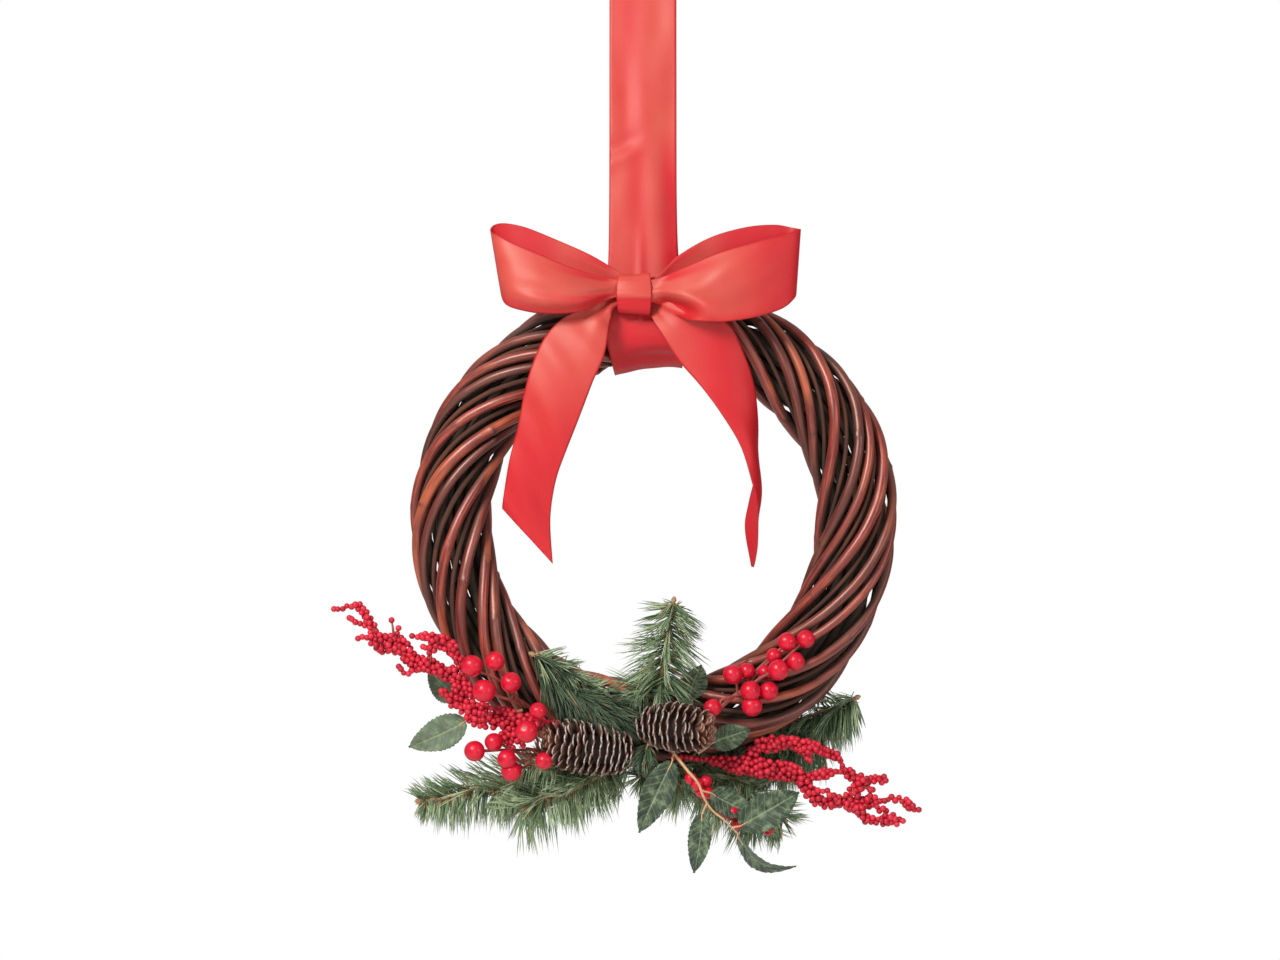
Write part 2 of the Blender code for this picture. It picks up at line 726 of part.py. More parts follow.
def left_berries(red_berry):
    berry_bunch(
        "berries_left_upper", (-0.070, -0.030, -0.118), (-0.090, -0.036, -0.103),
        [(-0.1113, -0.036, -0.0867, 0.0062), (-0.0978, -0.038, -0.0849, 0.0059),
         (-0.1039, -0.044, -0.1024, 0.0067), (-0.0879, -0.046, -0.0960, 0.0062)],
        red_berry,
    )
    berry_bunch(
        "berries_left_lower", (-0.052, -0.014, -0.148), (-0.078, -0.028, -0.137),
        [(-0.0757, -0.036, -0.1150, 0.0052), (-0.0820, -0.042, -0.1275, 0.0066),
         (-0.0970, -0.034, -0.1345, 0.0056), (-0.1103, -0.032, -0.1396, 0.0064),
         (-0.0925, -0.038, -0.1470, 0.0062), (-0.0850, -0.030, -0.1540, 0.0062),
         (-0.0700, -0.030, -0.1480, 0.0052)],
        red_berry,
    )
    berry_spray(
        "berry_spray_left",
        [
            [(-0.060, -0.026, -0.122), (-0.0783, -0.028, -0.1193), (-0.0924, -0.028, -0.1193),
             (-0.1066, -0.027, -0.1193), (-0.1162, -0.026, -0.1089), (-0.1206, -0.025, -0.0978),
             (-0.1320, -0.024, -0.0910), (-0.1470, -0.023, -0.0836), (-0.1527, -0.022, -0.0769),
             (-0.1630, -0.021, -0.0769), (-0.1697, -0.020, -0.0723), (-0.1743, -0.019, -0.0627),
             (-0.1790, -0.018, -0.0545), (-0.1870, -0.017, -0.0520), (-0.1950, -0.016, -0.0529)],
            [(-0.1162, -0.026, -0.1089), (-0.1165, -0.031, -0.0930), (-0.1190, -0.031, -0.0810),
             (-0.1301, -0.028, -0.0713), (-0.1433, -0.025, -0.0664), (-0.1488, -0.024, -0.0705)],
            [(-0.1470, -0.023, -0.0836), (-0.1520, -0.026, -0.0870), (-0.1585, -0.027, -0.0890)],
            [(-0.1697, -0.020, -0.0723), (-0.1760, -0.023, -0.0700), (-0.1815, -0.024, -0.0690)],
            [(-0.1630, -0.021, -0.0769), (-0.1610, -0.021, -0.0690), (-0.1607, -0.021, -0.0609)],
        ],
        red_berry,
    )


def right_berries(red_berry):
    berry_bunch(
        "berries_right", (0.040, -0.036, -0.112), (0.062, -0.036, -0.098),
        [(0.0818, -0.038, -0.0732, 0.0058), (0.0941, -0.036, -0.0716, 0.0056),
         (0.0879, -0.040, -0.0849, 0.0056), (0.0763, -0.044, -0.0913, 0.0064),
         (0.0735, -0.036, -0.0805, 0.0050), (0.0492, -0.040, -0.0929, 0.0062),
         (0.0585, -0.036, -0.0890, 0.0050), (0.0590, -0.044, -0.1021, 0.0058),
         (0.0707, -0.040, -0.1045, 0.0056), (0.0601, -0.042, -0.1140, 0.0062)],
        red_berry,
    )
    berry_spray(
        "berry_spray_right",
        [
            [(0.012, -0.022, -0.1470), (0.0418, -0.026, -0.1488), (0.0670, -0.028, -0.1519),
             (0.0855, -0.028, -0.1544), (0.0984, -0.027, -0.1568), (0.1144, -0.026, -0.1531),
             (0.1236, -0.026, -0.1581), (0.1408, -0.025, -0.1568)],
            [(0.0418, -0.026, -0.1488), (0.0541, -0.024, -0.1450), (0.0652, -0.023, -0.1378),
             (0.0806, -0.022, -0.1328), (0.0923, -0.021, -0.1328), (0.1046, -0.020, -0.1402),
             (0.1162, -0.019, -0.1456)],
            [(0.0855, -0.028, -0.1544), (0.0923, -0.031, -0.1630), (0.1021, -0.032, -0.1697),
             (0.1156, -0.032, -0.1740), (0.1298, -0.031, -0.1814), (0.1396, -0.030, -0.1839),
             (0.1507, -0.029, -0.1845)],
            [(0.1021, -0.032, -0.1697), (0.1120, -0.028, -0.1672), (0.1235, -0.026, -0.1690),
             (0.1347, -0.025, -0.1704), (0.1470, -0.024, -0.1685), (0.1587, -0.023, -0.1740),
             (0.1642, -0.022, -0.1753)],
            [(0.1236, -0.026, -0.1581), (0.1235, -0.025, -0.1635), (0.1235, -0.026, -0.1690)],
        ],
        red_berry, TO_TOP_SLANTING,
    )
    berry_bunch(
        "berries_centre", (0.010, -0.022, -0.1530), (0.034, -0.030, -0.1640),
        [(0.0215, -0.034, -0.1590, 0.0032), (0.0274, -0.032, -0.1640, 0.0036),
         (0.0338, -0.034, -0.1600, 0.0036), (0.0366, -0.028, -0.1716, 0.0030),
         (0.0498, -0.024, -0.1760, 0.0034), (0.0726, -0.022, -0.1907, 0.0034)],
        red_berry, TO_TOP_SLANTING,
    )


def leaves():
    leaf_green = make_material("leaf_green", (0.09, 0.20, 0.09), 0.55)
    leafy_stem(
        "leaf_sprig",
        [(0.008, -0.030, -0.1480), (0.0141, -0.036, -0.1490), (0.0215, -0.041, -0.1545),
         (0.0307, -0.043, -0.1630), (0.0332, -0.042, -0.1728), (0.0418, -0.040, -0.1796),
         (0.0529, -0.038, -0.1900)],
        [((0.0141, -0.036, -0.1490), (0.0110, -0.038, -0.1510), (-0.0086, -0.040, -0.1913),
          0.0220, 0.10, (0.15, -1, 0.1)),
         ((0.0332, -0.042, -0.1728), (0.0326, -0.044, -0.1790), (0.0252, -0.046, -0.2150),
          0.0145, 0.12, (-0.3, -1, 0)),
         ((0.0307, -0.043, -0.1630), (0.0350, -0.044, -0.1680), (0.0650, -0.040, -0.1750),
          0.0160, 0.10, (0.1, -1, 0.4)),
         ((0.0529, -0.038, -0.1900), (0.0545, -0.040, -0.1870), (0.0898, -0.046, -0.1650),
          0.0215, 0.10, (0.1, -1, 0.2)),
         ((0.0529, -0.038, -0.1900), (0.0535, -0.038, -0.1943), (0.0873, -0.036, -0.2140),
          0.0150, -0.22, (0.5, -0.6, 0.9))],
        leaf_green, (0, 0.5, 1),
    )
    leafy_stem(
        "leaf_left_low", [(-0.080, -0.028, -0.1160), (-0.102, -0.030, -0.1225)],
        [((-0.102, -0.030, -0.1225), (-0.1144, -0.029, -0.1230), (-0.1488, -0.030, -0.1384),
          0.0210, 0.10, (-0.1, -1, 0.3))],
        leaf_green,
    )
    leafy_stem(
        "leaf_left_high", [(-0.105, -0.014, -0.1090), (-0.114, -0.014, -0.1070)],
        [((-0.114, -0.014, -0.1070), (-0.1224, -0.013, -0.1050), (-0.1408, -0.010, -0.0880),
          0.0170, 0.10, (0, -1, 0))],
        leaf_green, (0.75, 0, 0.6),
    )
    leafy_stem(
        "leaf_right", [(0.030, -0.020, -0.1430), (0.036, -0.022, -0.1390)],
        [((0.036, -0.022, -0.1390), (0.0380, -0.024, -0.1370), (0.0615, -0.030, -0.1280),
          0.0150, 0.10, (0.1, -1, -0.1))],
        leaf_green,
    )
    leafy_stem(
        "leaf_top", [(0.026, -0.026, -0.1100), (0.027, -0.028, -0.1060)],
        [((0.027, -0.028, -0.1060), (0.0275, -0.028, -0.1040), (0.0330, -0.034, -0.0850),
          0.0150, 0.08, (0.5, -1, 0))],
        leaf_green,
    )


def firs():
    fir_green = make_material("fir_green", (0.05, 0.13, 0.05), 0.6)
    fir_spray(
        "fir_up",
        [[(-0.0010, -0.034, -0.1060), (0.0040, -0.036, -0.0930), (0.0085, -0.040, -0.0700),
          (0.0115, -0.042, -0.0480)]],
        UPRIGHT_HABIT, fir_green, TO_BACK,
    )
    fir_spray(
        "fir_inner_left",
        [[(-0.0200, -0.036, -0.1090), (-0.0360, -0.038, -0.1010), (-0.0540, -0.037, -0.0900),
          (-0.0720, -0.036, -0.0800)]],
        SWEPT_HABIT, fir_green, TO_BACK,
    )
    fir_spray(
        "fir_left",
        [[(-0.0100, -0.008, -0.1560), (-0.0450, -0.009, -0.1575), (-0.0800, -0.010, -0.1600),
          (-0.1100, -0.010, -0.1610), (-0.1440, -0.010, -0.1660)],
         [(-0.0330, -0.0085, -0.1570), (-0.0480, -0.016, -0.1670), (-0.0660, -0.020, -0.1800),
          (-0.0800, -0.022, -0.1900)]],
        LEFT_HABIT, fir_green, TO_TOP,
    )
    fir_spray(
        "fir_right_back",
        [[(0.0300, 0.030, -0.1450), (0.0700, 0.032, -0.1400), (0.1000, 0.026, -0.1230),
          (0.1240, 0.020, -0.1070)]],
        HANGING_HABIT, fir_green, (-0.2, -0.4, 1),
    )
    fir_spray(
        "fir_right_low",
        [[(0.0000, 0.004, -0.1560), (0.0300, 0.000, -0.1580), (0.0560, -0.004, -0.1720),
          (0.0860, -0.008, -0.1880)],
         [(0.0060, 0.0036, -0.1560), (0.0000, -0.004, -0.1650), (-0.0080, -0.008, -0.1740)]],
        LOW_HABIT, fir_green, TO_TOP,
    )


def build():
    clear_scene()
    willow_ring(make_material("willow", (0.20, 0.055, 0.03), 0.35))
    ribbons()
    cones()
    red_berry = make_material("red_berry", (0.72, 0.01, 0.03), 0.2)
    left_berries(red_berry)
    right_berries(red_berry)
    leaves()
    firs()
    for thing in bpy.context.scene.objects:
        thing.location = thing.location + Vector((RING_ASIDE, 0, -RING_DROP))


build()
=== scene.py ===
"""A wicker Christmas wreath on a ribbon loop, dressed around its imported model.

Metres, +Z up, seen from the front along +Y. Places are given from the ring's centre, as in
the part's source, and moved to the model's frame when a piece is made. Long lists of places are
in tenths of a millimetre.
"""

import math
import random

import bpy
import numpy as np
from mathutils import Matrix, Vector
from mathutils.bvhtree import BVHTree


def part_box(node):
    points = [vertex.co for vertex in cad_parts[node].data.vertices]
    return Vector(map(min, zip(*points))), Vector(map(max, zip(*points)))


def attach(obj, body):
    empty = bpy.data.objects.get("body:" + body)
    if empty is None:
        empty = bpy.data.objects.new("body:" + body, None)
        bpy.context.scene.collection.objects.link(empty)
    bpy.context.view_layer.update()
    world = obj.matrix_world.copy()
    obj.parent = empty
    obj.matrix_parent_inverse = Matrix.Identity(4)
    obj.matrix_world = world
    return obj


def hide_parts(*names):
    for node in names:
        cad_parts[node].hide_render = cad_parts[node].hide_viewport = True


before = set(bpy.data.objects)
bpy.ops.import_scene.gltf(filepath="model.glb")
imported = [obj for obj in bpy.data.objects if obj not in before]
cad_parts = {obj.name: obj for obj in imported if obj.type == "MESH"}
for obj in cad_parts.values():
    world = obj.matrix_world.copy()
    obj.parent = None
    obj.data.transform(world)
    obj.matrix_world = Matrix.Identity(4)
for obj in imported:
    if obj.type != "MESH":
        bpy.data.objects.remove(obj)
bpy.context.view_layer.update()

# The ring's place under the hook and its rods, as in the part's source
RING_DROP = 0.350
RING_ASIDE = 0.0068
RING_CENTRE = np.array((RING_ASIDE, 0.0, -RING_DROP))
RING_RADIUS = 0.124
TUBE_RADIUS = 0.026
GOLDEN_TURN = math.radians(137.508)

ROD_BUTT = 0.0035
ROD_TIP = 0.0026
OUTER_TURNS = 3
OUTER_PHASES = (0, 23, 66, 101, 124, 170, 213, 236, 282, 321)
OUTER_SEAT = TUBE_RADIUS - 2 * ROD_BUTT
MIDDLE_TURNS = 1
MIDDLE_PHASES = (10, 70, 131, 190, 250, 310)
MIDDLE_ROD = 0.0029
LAYER_GAP = 0.0011
MIDDLE_SEAT = OUTER_SEAT - LAYER_GAP - 2 * MIDDLE_ROD
CORE_PHASES = (40, 220)
CORE_ROD = 0.0028
CORE_SEAT = MIDDLE_SEAT - LAYER_GAP - 2 * CORE_ROD
ROD_END_GAP = math.radians(2.4)
AT_THE_BACK = math.radians(-90)
# Rods that only the scene has: slim ones between the outer and middle layer, and some in the heart
SLIM_PHASES = (44, 84, 147, 192, 259, 302)
SLIM_ROD = 0.0017
SLIM_SEAT = 0.0180
HEART_PHASES = (85, 130, 175, 265, 310, 355)
HEART_ROD = 0.0024
# Distance from the middle of the rods' bundle where the painted shade is full, and where it ends
PAINTED_SHADE_FULL = 0.0182
PAINTED_SHADE_NONE = 0.0258
# How dark a stain each outer rod took
OUTER_STAIN = (0, 0.65, 0.10, 0.15, 0.80, 0, 0.25, 0.70, 0.10, 0.45)

# The rods of each layer: its name, whether the part has them, phases, seat, radius at both ends,
# turns, where they start in degrees, first seed, rows, sides, and the painted shade on them all over
ROD_LAYERS = (
    ("outer", True, OUTER_PHASES, OUTER_SEAT, ROD_BUTT, ROD_TIP, OUTER_TURNS, (0, 120, 240),
     10, 420, 14, 0.0),
    ("middle", True, MIDDLE_PHASES, MIDDLE_SEAT, MIDDLE_ROD, MIDDLE_ROD * 0.9, MIDDLE_TURNS, (0,),
     40, 320, 12, 0.85),
    ("core", True, CORE_PHASES, CORE_SEAT, CORE_ROD, CORE_ROD, 0, (0, 120), 60, 260, 12, 0.85),
    ("slim", False, SLIM_PHASES, SLIM_SEAT, SLIM_ROD, SLIM_ROD * 0.75, OUTER_TURNS, (0,),
     80, 360, 10, 0.86),
    ("heart", False, HEART_PHASES, CORE_SEAT, HEART_ROD, HEART_ROD, 0,
     (20, 80, 140, 200, 260, 320), 100, 240, 10, 0.88),
)

RIBBON_WIDTH = 0.041
RIBBON_THICKNESS = 0.0005
LOOP_RADIUS = 0.0078
WRAP_RADIUS = TUBE_RADIUS + 0.0013
WRAP_SPREAD = 0.0040
WRAP_WIDTH = 0.050
WRAP_SLACK = 0.0028
# How late the ribbon widens on its way down to the ring
WIDENING = 10
CREASE_FOOT = 0.2232
KNOT_HEIGHT = 0.1405
KNOT_ASIDE = -0.0108
LOOP_STEPS = 381
LOOP_COLUMNS = 41
TAIL_STEPS = 281
RIBBON_COLUMNS = 25
# Where along the strip of the tails its middle lies, at the knot
TAILS_MIDDLE = 0.48

# Radius of the small berries, how close they may sit, and the length of twig for each try
SMALL_BERRY = 0.0019
BERRY_SPACING = 0.0029
BERRY_TRY = 0.00006

# Behind this plane lies the door, and shorter needles than this are left away
BACK_PLANE = 0.0440
SHORTEST_NEEDLE = 0.0060
# Room that needles keep to what stops them
NEEDLE_ROOM = 0.0006

# Distance along a cone from one row of scales to the next, and scales in a row
CONE_ROW = 0.0043
CONE_AROUND = 13.12
ROSETTE_SCALES = 18

# Side veins on each side of a leaf, and how far they lean ahead from midrib to edge, as a share
# of its length
SIDE_VEINS = 9
VEIN_SLANT = 0.16
LEAF_THICKNESS = 0.00045
SAW_TEETH = 13

# Needles grow in tufts, spread a little along the twig, and a few of them are brown
NEEDLES_A_TUFT = 6
NEEDLE_GIRTH = 0.00047
TUFT_SPREAD = 0.0017
WITHERED_SHARE = 0.025
# Rows along a twig, the last one with brown scales, how thick these are, and how far apart the
# joints are that they sit at
TWIG_ROWS = 80
LAST_STUB_ROW = 76
STUB_GIRTH = 0.00060
NODE_SPACING = 0.0145


# Shared tools

def vec(point):
    return np.array(point, float)


def tenths(points):
    """Places listed in tenths of a millimetre, in metres."""
    return vec(points) / 10000


def unit(rows):
    return rows / np.maximum(np.linalg.norm(rows, axis=-1, keepdims=True), 1e-12)


def smooth_step(low, high, value):
    share = np.clip((value - low) / (high - low), 0, 1)
    return share * share * (3 - 2 * share)


def ripple(seed, *coordinates, waves=5):
    """A smooth random value about -1 to 1, from a few sines of the coordinates."""
    draw = random.Random(seed)
    total = 0
    for wave in range(waves):
        angle = draw.uniform(0, 2 * math.pi)
        for values in coordinates:
            angle = angle + values * draw.uniform(-1, 1) * (1 + 0.7 * wave)
        total = total + np.sin(angle) / (1 + 0.4 * wave)
    return total / 2.2


def smooth_path(points, count, closed=False):
    """A smooth curve through the points, as count rows evenly spread along them. A closed one
    ends on its first point."""
    points = np.array(points, float)
    if closed:
        padded = np.vstack([points[-1:], points, points[:2]])
    else:
        padded = np.vstack([2 * points[0] - points[1], points, 2 * points[-1] - points[-2]])
    spans = len(padded) - 3
    where = np.linspace(0, spans, count)
    span = np.minimum(where.astype(int), spans - 1)
    t = (where - span)[:, None]
    before, here, there, after = (padded[span + k] for k in range(4))
    return 0.5 * (
        2 * here + (there - before) * t
        + (2 * before - 5 * here + 4 * there - after) * t ** 2
        + (3 * here - before - 3 * there + after) * t ** 3
    )


def lengths_along(path):
    return np.concatenate([[0], np.cumsum(np.linalg.norm(np.diff(path, axis=0), axis=1))])


def frames_along(path):
    """Directions ahead, up and aside at each row of a path, carried along without twist."""
    ahead = unit(np.gradient(path, axis=0))
    up = np.zeros_like(path)
    current = np.eye(3)[np.argmin(np.abs(ahead[0]))]
    for index, direction in enumerate(ahead):
        current = current - direction * current.dot(direction)
        current = current / np.linalg.norm(current)
        up[index] = current
    return ahead, up, np.cross(ahead, up)


class Shape:
    """Corners, faces and values for one piece, added to bit by bit."""

    def __init__(self):
        self.corners = []
        self.faces = []
        self.paints = []
        self.values = {}
        self.count = 0

    def add(self, corners, faces, paint=0, **values):
        corners = np.asarray(corners, float)
        self.faces += [tuple(self.count + k for k in face) for face in faces]
        self.paints += [paint] * len(faces)
        self.corners.append(corners)
        for name, value in values.items():
            value = np.asarray(value, float)
            width = value.shape[-1] if value.ndim == 2 or value.shape == (3,) else 0
            full = (len(corners), width) if width else (len(corners),)
            self.values.setdefault(name, []).append((self.count, np.broadcast_to(value, full)))
        self.count += len(corners)

    def piece(self, name, materials, replaces=()):
        """An object of what was added, moved to the model's frame."""
        mesh = bpy.data.meshes.new(name)
        corners = np.vstack(self.corners) + RING_CENTRE
        mesh.from_pydata(corners.tolist(), [], self.faces)
        for key, parts in self.values.items():
            wide = parts[0][1].ndim == 2
            full = np.zeros((self.count, 3) if wide else self.count, np.float32)
            for start, value in parts:
                full[start:start + len(value)] = value
            kind = "FLOAT_VECTOR" if wide else "FLOAT"
            layer = mesh.attributes.new(key, kind, "POINT")
            layer.data.foreach_set("vector" if wide else "value", full.ravel())
        for material in materials:
            mesh.materials.append(material)
        mesh.polygons.foreach_set("material_index", self.paints)
        mesh.shade_smooth()
        mesh.update()
        thing = bpy.data.objects.new(name, mesh)
        bpy.context.scene.collection.objects.link(thing)
        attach(thing, "root")
        if replaces:
            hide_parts(*replaces)
        return thing


def grid_faces(rows, columns, closed_rows=False, closed_columns=False):
    faces = []
    for row in range(rows if closed_rows else rows - 1):
        after = (row + 1) % rows
        for column in range(columns if closed_columns else columns - 1):
            beside = (column + 1) % columns
            faces.append((row * columns + column, row * columns + beside,
                          after * columns + beside, after * columns + column))
    return faces


def rim_of_grid(rows, columns):
    """The corners along the border of a grid, in order."""
    count = rows * columns
    return (list(range(columns)) + [row * columns + columns - 1 for row in range(1, rows)]
            + list(range(count - 2, count - columns - 1, -1))
            + [row * columns for row in range(rows - 2, 0, -1)])


def plate_faces(rows, columns):
    """Faces of a thin plate: a grid, the same grid on its other side, and the rim between."""
    count = rows * columns
    sheet = grid_faces(rows, columns)
    border = rim_of_grid(rows, columns)
    other = [tuple(k + count for k in reversed(face)) for face in sheet]
    rim = [(there, here, here + count, there + count)
           for here, there in zip(border, border[1:] + border[:1])]
    return sheet + other + rim


def add_tube(shape, path, radii, sides, paint=0, bulge=None, cap_paint=None, **values):
    """A tube of changing radius with rounded ends. bulge(turn, along) scales its radius."""
    path = np.asarray(path, float)
    radii = np.broadcast_to(np.asarray(radii, float), (len(path),))
    ahead, up, aside = frames_along(path)
    turn = np.arange(sides) * 2 * math.pi / sides
    along = lengths_along(path)
    reach = radii[:, None] * np.ones((1, sides))
    if bulge is not None:
        reach = reach * bulge(turn[None, :], along[:, None])
    rounds = (np.cos(turn)[None, :, None] * up[:, None, :]
              + np.sin(turn)[None, :, None] * aside[:, None, :])
    corners = (path[:, None, :] + reach[:, :, None] * rounds).reshape(-1, 3)
    bark = np.stack([
        reach * np.cos(turn)[None, :], reach * np.sin(turn)[None, :],
        np.repeat(along[:, None], sides, axis=1)], axis=-1).reshape(-1, 3)
    faces = grid_faces(len(path), sides, closed_columns=True)
    shape.add(corners, faces, paint, bark=bark, **values)
    last = len(path) - 1
    for row, order in ((0, -1), (last, 1)):
        middle = path[row] + ahead[row] * order * radii[row] * 0.25
        ring = corners[row * sides:(row + 1) * sides]
        fan = [(k, (k + 1) % sides, sides)[::order] for k in range(sides)]
        shape.add(np.vstack([ring, middle]), fan, paint if cap_paint is None else cap_paint,
                  bark=np.vstack([bark[row * sides:(row + 1) * sides], bark[row * sides] * 0]),
                  **values)


def ball_template(rings, sides):
    """Corners on a unit ball, its faces, and its height from -1 to 1."""
    corners = [(0, 0, -1)]
    for ring in range(1, rings):
        tilt = math.pi * ring / rings
        for k in range(sides):
            turn = 2 * math.pi * k / sides
            corners.append((math.sin(tilt) * math.cos(turn), math.sin(tilt) * math.sin(turn),
                            -math.cos(tilt)))
    corners.append((0, 0, 1))
    top = len(corners) - 1
    faces = [(0, 1 + (k + 1) % sides, 1 + k) for k in range(sides)]
    for ring in range(rings - 2):
        low, high = 1 + ring * sides, 1 + (ring + 1) * sides
        faces += [(low + k, low + (k + 1) % sides, high + (k + 1) % sides, high + k)
                  for k in range(sides)]
    last = 1 + (rings - 2) * sides
    faces += [(last + k, last + (k + 1) % sides, top) for k in range(sides)]
    return np.array(corners), faces


def turned(points, axis):
    """Points with their own Z turned along an axis."""
    axis = unit(vec(axis))
    side = unit(np.cross(axis, np.eye(3)[np.argmin(np.abs(axis))]))
    return points @ np.vstack([side, np.cross(axis, side), axis])


# Materials

def map_range(nodes, low, high, first=0.0, last=1.0):
    node = nodes.new("ShaderNodeMapRange")
    sockets = {"From Min": first, "From Max": last, "To Min": low, "To Max": high}
    for socket, number in sockets.items():
        node.inputs[socket].default_value = number
    return node


class Paint:
    """A material being wired: nodes made by name, joined by their sockets."""

    def __init__(self, name):
        self.material = bpy.data.materials.new(name)
        self.material.use_nodes = True
        self.nodes = self.material.node_tree.nodes
        self.links = self.material.node_tree.links
        self.shader = self.nodes["Principled BSDF"]

    def set(self, **sockets):
        for name, value in sockets.items():
            self.shader.inputs[name.replace("_", " ")].default_value = value

    def link(self, source, target):
        self.links.new(source, target)

    def value(self, name, vector=False):
        node = self.nodes.new("ShaderNodeAttribute")
        node.attribute_name = name
        return node.outputs["Vector" if vector else "Fac"]

    def stretched(self, source, scale):
        node = self.nodes.new("ShaderNodeMapping")
        node.inputs["Scale"].default_value = scale
        self.link(source, node.inputs["Vector"])
        return node.outputs["Vector"]

    def noise(self, vector, scale, detail=3.0, roughness=0.55):
        node = self.nodes.new("ShaderNodeTexNoise")
        node.inputs["Scale"].default_value = scale
        node.inputs["Detail"].default_value = detail
        node.inputs["Roughness"].default_value = roughness
        self.link(vector, node.inputs["Vector"])
        return node.outputs["Fac"]

    def place(self):
        return self.nodes.new("ShaderNodeTexCoord").outputs["Object"]

    def ramp(self, source, *stops):
        node = self.nodes.new("ShaderNodeValToRGB")
        elements = node.color_ramp.elements
        while len(elements) < len(stops):
            elements.new(0.5)
        for element, (where, colour) in zip(elements, stops):
            element.position = where
            element.color = (*colour, 1) if len(colour) == 3 else colour
        self.link(source, node.inputs["Fac"])
        return node.outputs["Color"]

    def grey(self, source, low, high, first=0.0, last=1.0):
        """Spreads the source from first..last to low..high."""
        node = map_range(self.nodes, low, high, first, last)
        self.link(source, node.inputs["Value"])
        return node.outputs["Result"]

    def mix(self, share, first, second, blend="MIX"):
        node = self.nodes.new("ShaderNodeMix")
        node.data_type = "RGBA"
        node.blend_type = blend
        if isinstance(share, (int, float)):
            node.inputs[0].default_value = share
        else:
            self.link(share, node.inputs[0])
        for socket, source in ((node.inputs[6], first), (node.inputs[7], second)):
            if isinstance(source, tuple):
                socket.default_value = (*source, 1)
            else:
                self.link(source, socket)
        return node.outputs[2]

    def math(self, operation, first, second=None):
        node = self.nodes.new("ShaderNodeMath")
        node.operation = operation
        for socket, source in zip(node.inputs, (first, second)):
            if source is None:
                continue
            if isinstance(source, (int, float)):
                socket.default_value = source
            else:
                self.link(source, socket)
        return node.outputs[0]

    def bump(self, height, distance, strength=1.0, onto=None):
        node = self.nodes.new("ShaderNodeBump")
        node.inputs["Distance"].default_value = distance
        node.inputs["Strength"].default_value = strength
        self.link(height, node.inputs["Height"])
        if onto is not None:
            self.link(onto, node.inputs["Normal"])
        return node.outputs["Normal"]

    def colour(self, source):
        self.link(source, self.shader.inputs["Base Color"])

    def rough(self, source):
        self.link(source, self.shader.inputs["Roughness"])

    def normal(self, source):
        self.link(source, self.shader.inputs["Normal"])


# Plain materials: how long their streaks are along the bark, or None where they are speckled, the
# noise's scale and detail, two colours, roughness and depth of the bumps
PLAIN_MATERIALS = {
    "cut_wood": (None, 1400, 3, (0.30, 0.11, 0.07), (0.55, 0.27, 0.17), (0.6, 0.8), 0.0002),
    "fir_twig": (2.0, 700, 3, (0.210, 0.120, 0.052), (0.500, 0.340, 0.175), (0.6, 0.85), 0.0006),
    "fir_bud": (None, 900, 3, (0.25, 0.11, 0.05), (0.55, 0.34, 0.18), (0.55, 0.8), 0.0004),
    "berry_stalk": (0.2, 1500, 2, (0.200, 0.022, 0.020), (0.400, 0.085, 0.060), (0.45, 0.7), 0.0002),
    "leaf_stem": (0.15, 1300, 3, (0.480, 0.230, 0.110), (0.640, 0.420, 0.220), (0.5, 0.7), 0.0003),
}


def plain_material(name):
    streak, scale, detail, dark, pale, rough, depth = PLAIN_MATERIALS[name]
    paint = Paint(name)
    if streak is None:
        place = paint.place()
    else:
        place = paint.stretched(paint.value("bark", vector=True), (1, 1, streak))
    grain = paint.noise(place, scale, detail)
    paint.colour(paint.ramp(grain, (0.3, dark), (0.7, pale)))
    paint.rough(paint.grey(grain, *rough))
    paint.normal(paint.bump(grain, depth))
    return paint.material


def bark_material(name, gloss, coat):
    """Stained willow with more or less varnish: long streaks, worn orange stretches, dark scars,
    and painted shade where rods lie far in the bundle and against each other."""
    paint = Paint(name)
    bark = paint.value("bark", vector=True)
    tone = paint.value("tone")
    streaks = paint.noise(paint.stretched(bark, (1, 1, 0.05)), 900, 4)
    patches = paint.noise(paint.stretched(bark, (1, 1, 0.25)), 90, 2)
    base = paint.ramp(streaks, (0.25, (0.040, 0.004, 0.003)), (0.50, (0.190, 0.016, 0.009)),
                      (0.75, (0.600, 0.080, 0.042)))
    worn = paint.ramp(paint.math("ADD", patches, paint.grey(tone, -0.14, 0.12)),
                      (0.52, (0, 0, 0)), (0.70, (1, 1, 1)))
    base = paint.mix(paint.math("MULTIPLY", worn, 0.65), base, (0.720, 0.150, 0.050))
    base = paint.mix(paint.value("dark"), base, (0.044, 0.006, 0.004))
    base = paint.mix(paint.value("scar"), base, (0.026, 0.007, 0.005))
    # painted shade: near black on the inner rods and where a rod lies far in the bundle
    base = paint.mix(paint.value("inner"), base, (0.046, 0.035, 0.027))
    paint.colour(base)
    rough = paint.mix(paint.value("inner"), paint.grey(streaks, 0.34, 0.48), (0.85, 0.85, 0.85))
    paint.rough(rough)
    lumps = paint.noise(paint.stretched(bark, (1, 1, 0.3)), 260, 2)
    paint.normal(paint.bump(lumps, 0.0006, 0.5, paint.bump(streaks, 0.00025, 0.8)))
    paint.set(IOR=1.55, Specular_IOR_Level=gloss, Specular_Tint=(1.0, 0.55, 0.45, 1),
              Coat_Weight=coat, Coat_Roughness=0.33)
    return paint.material


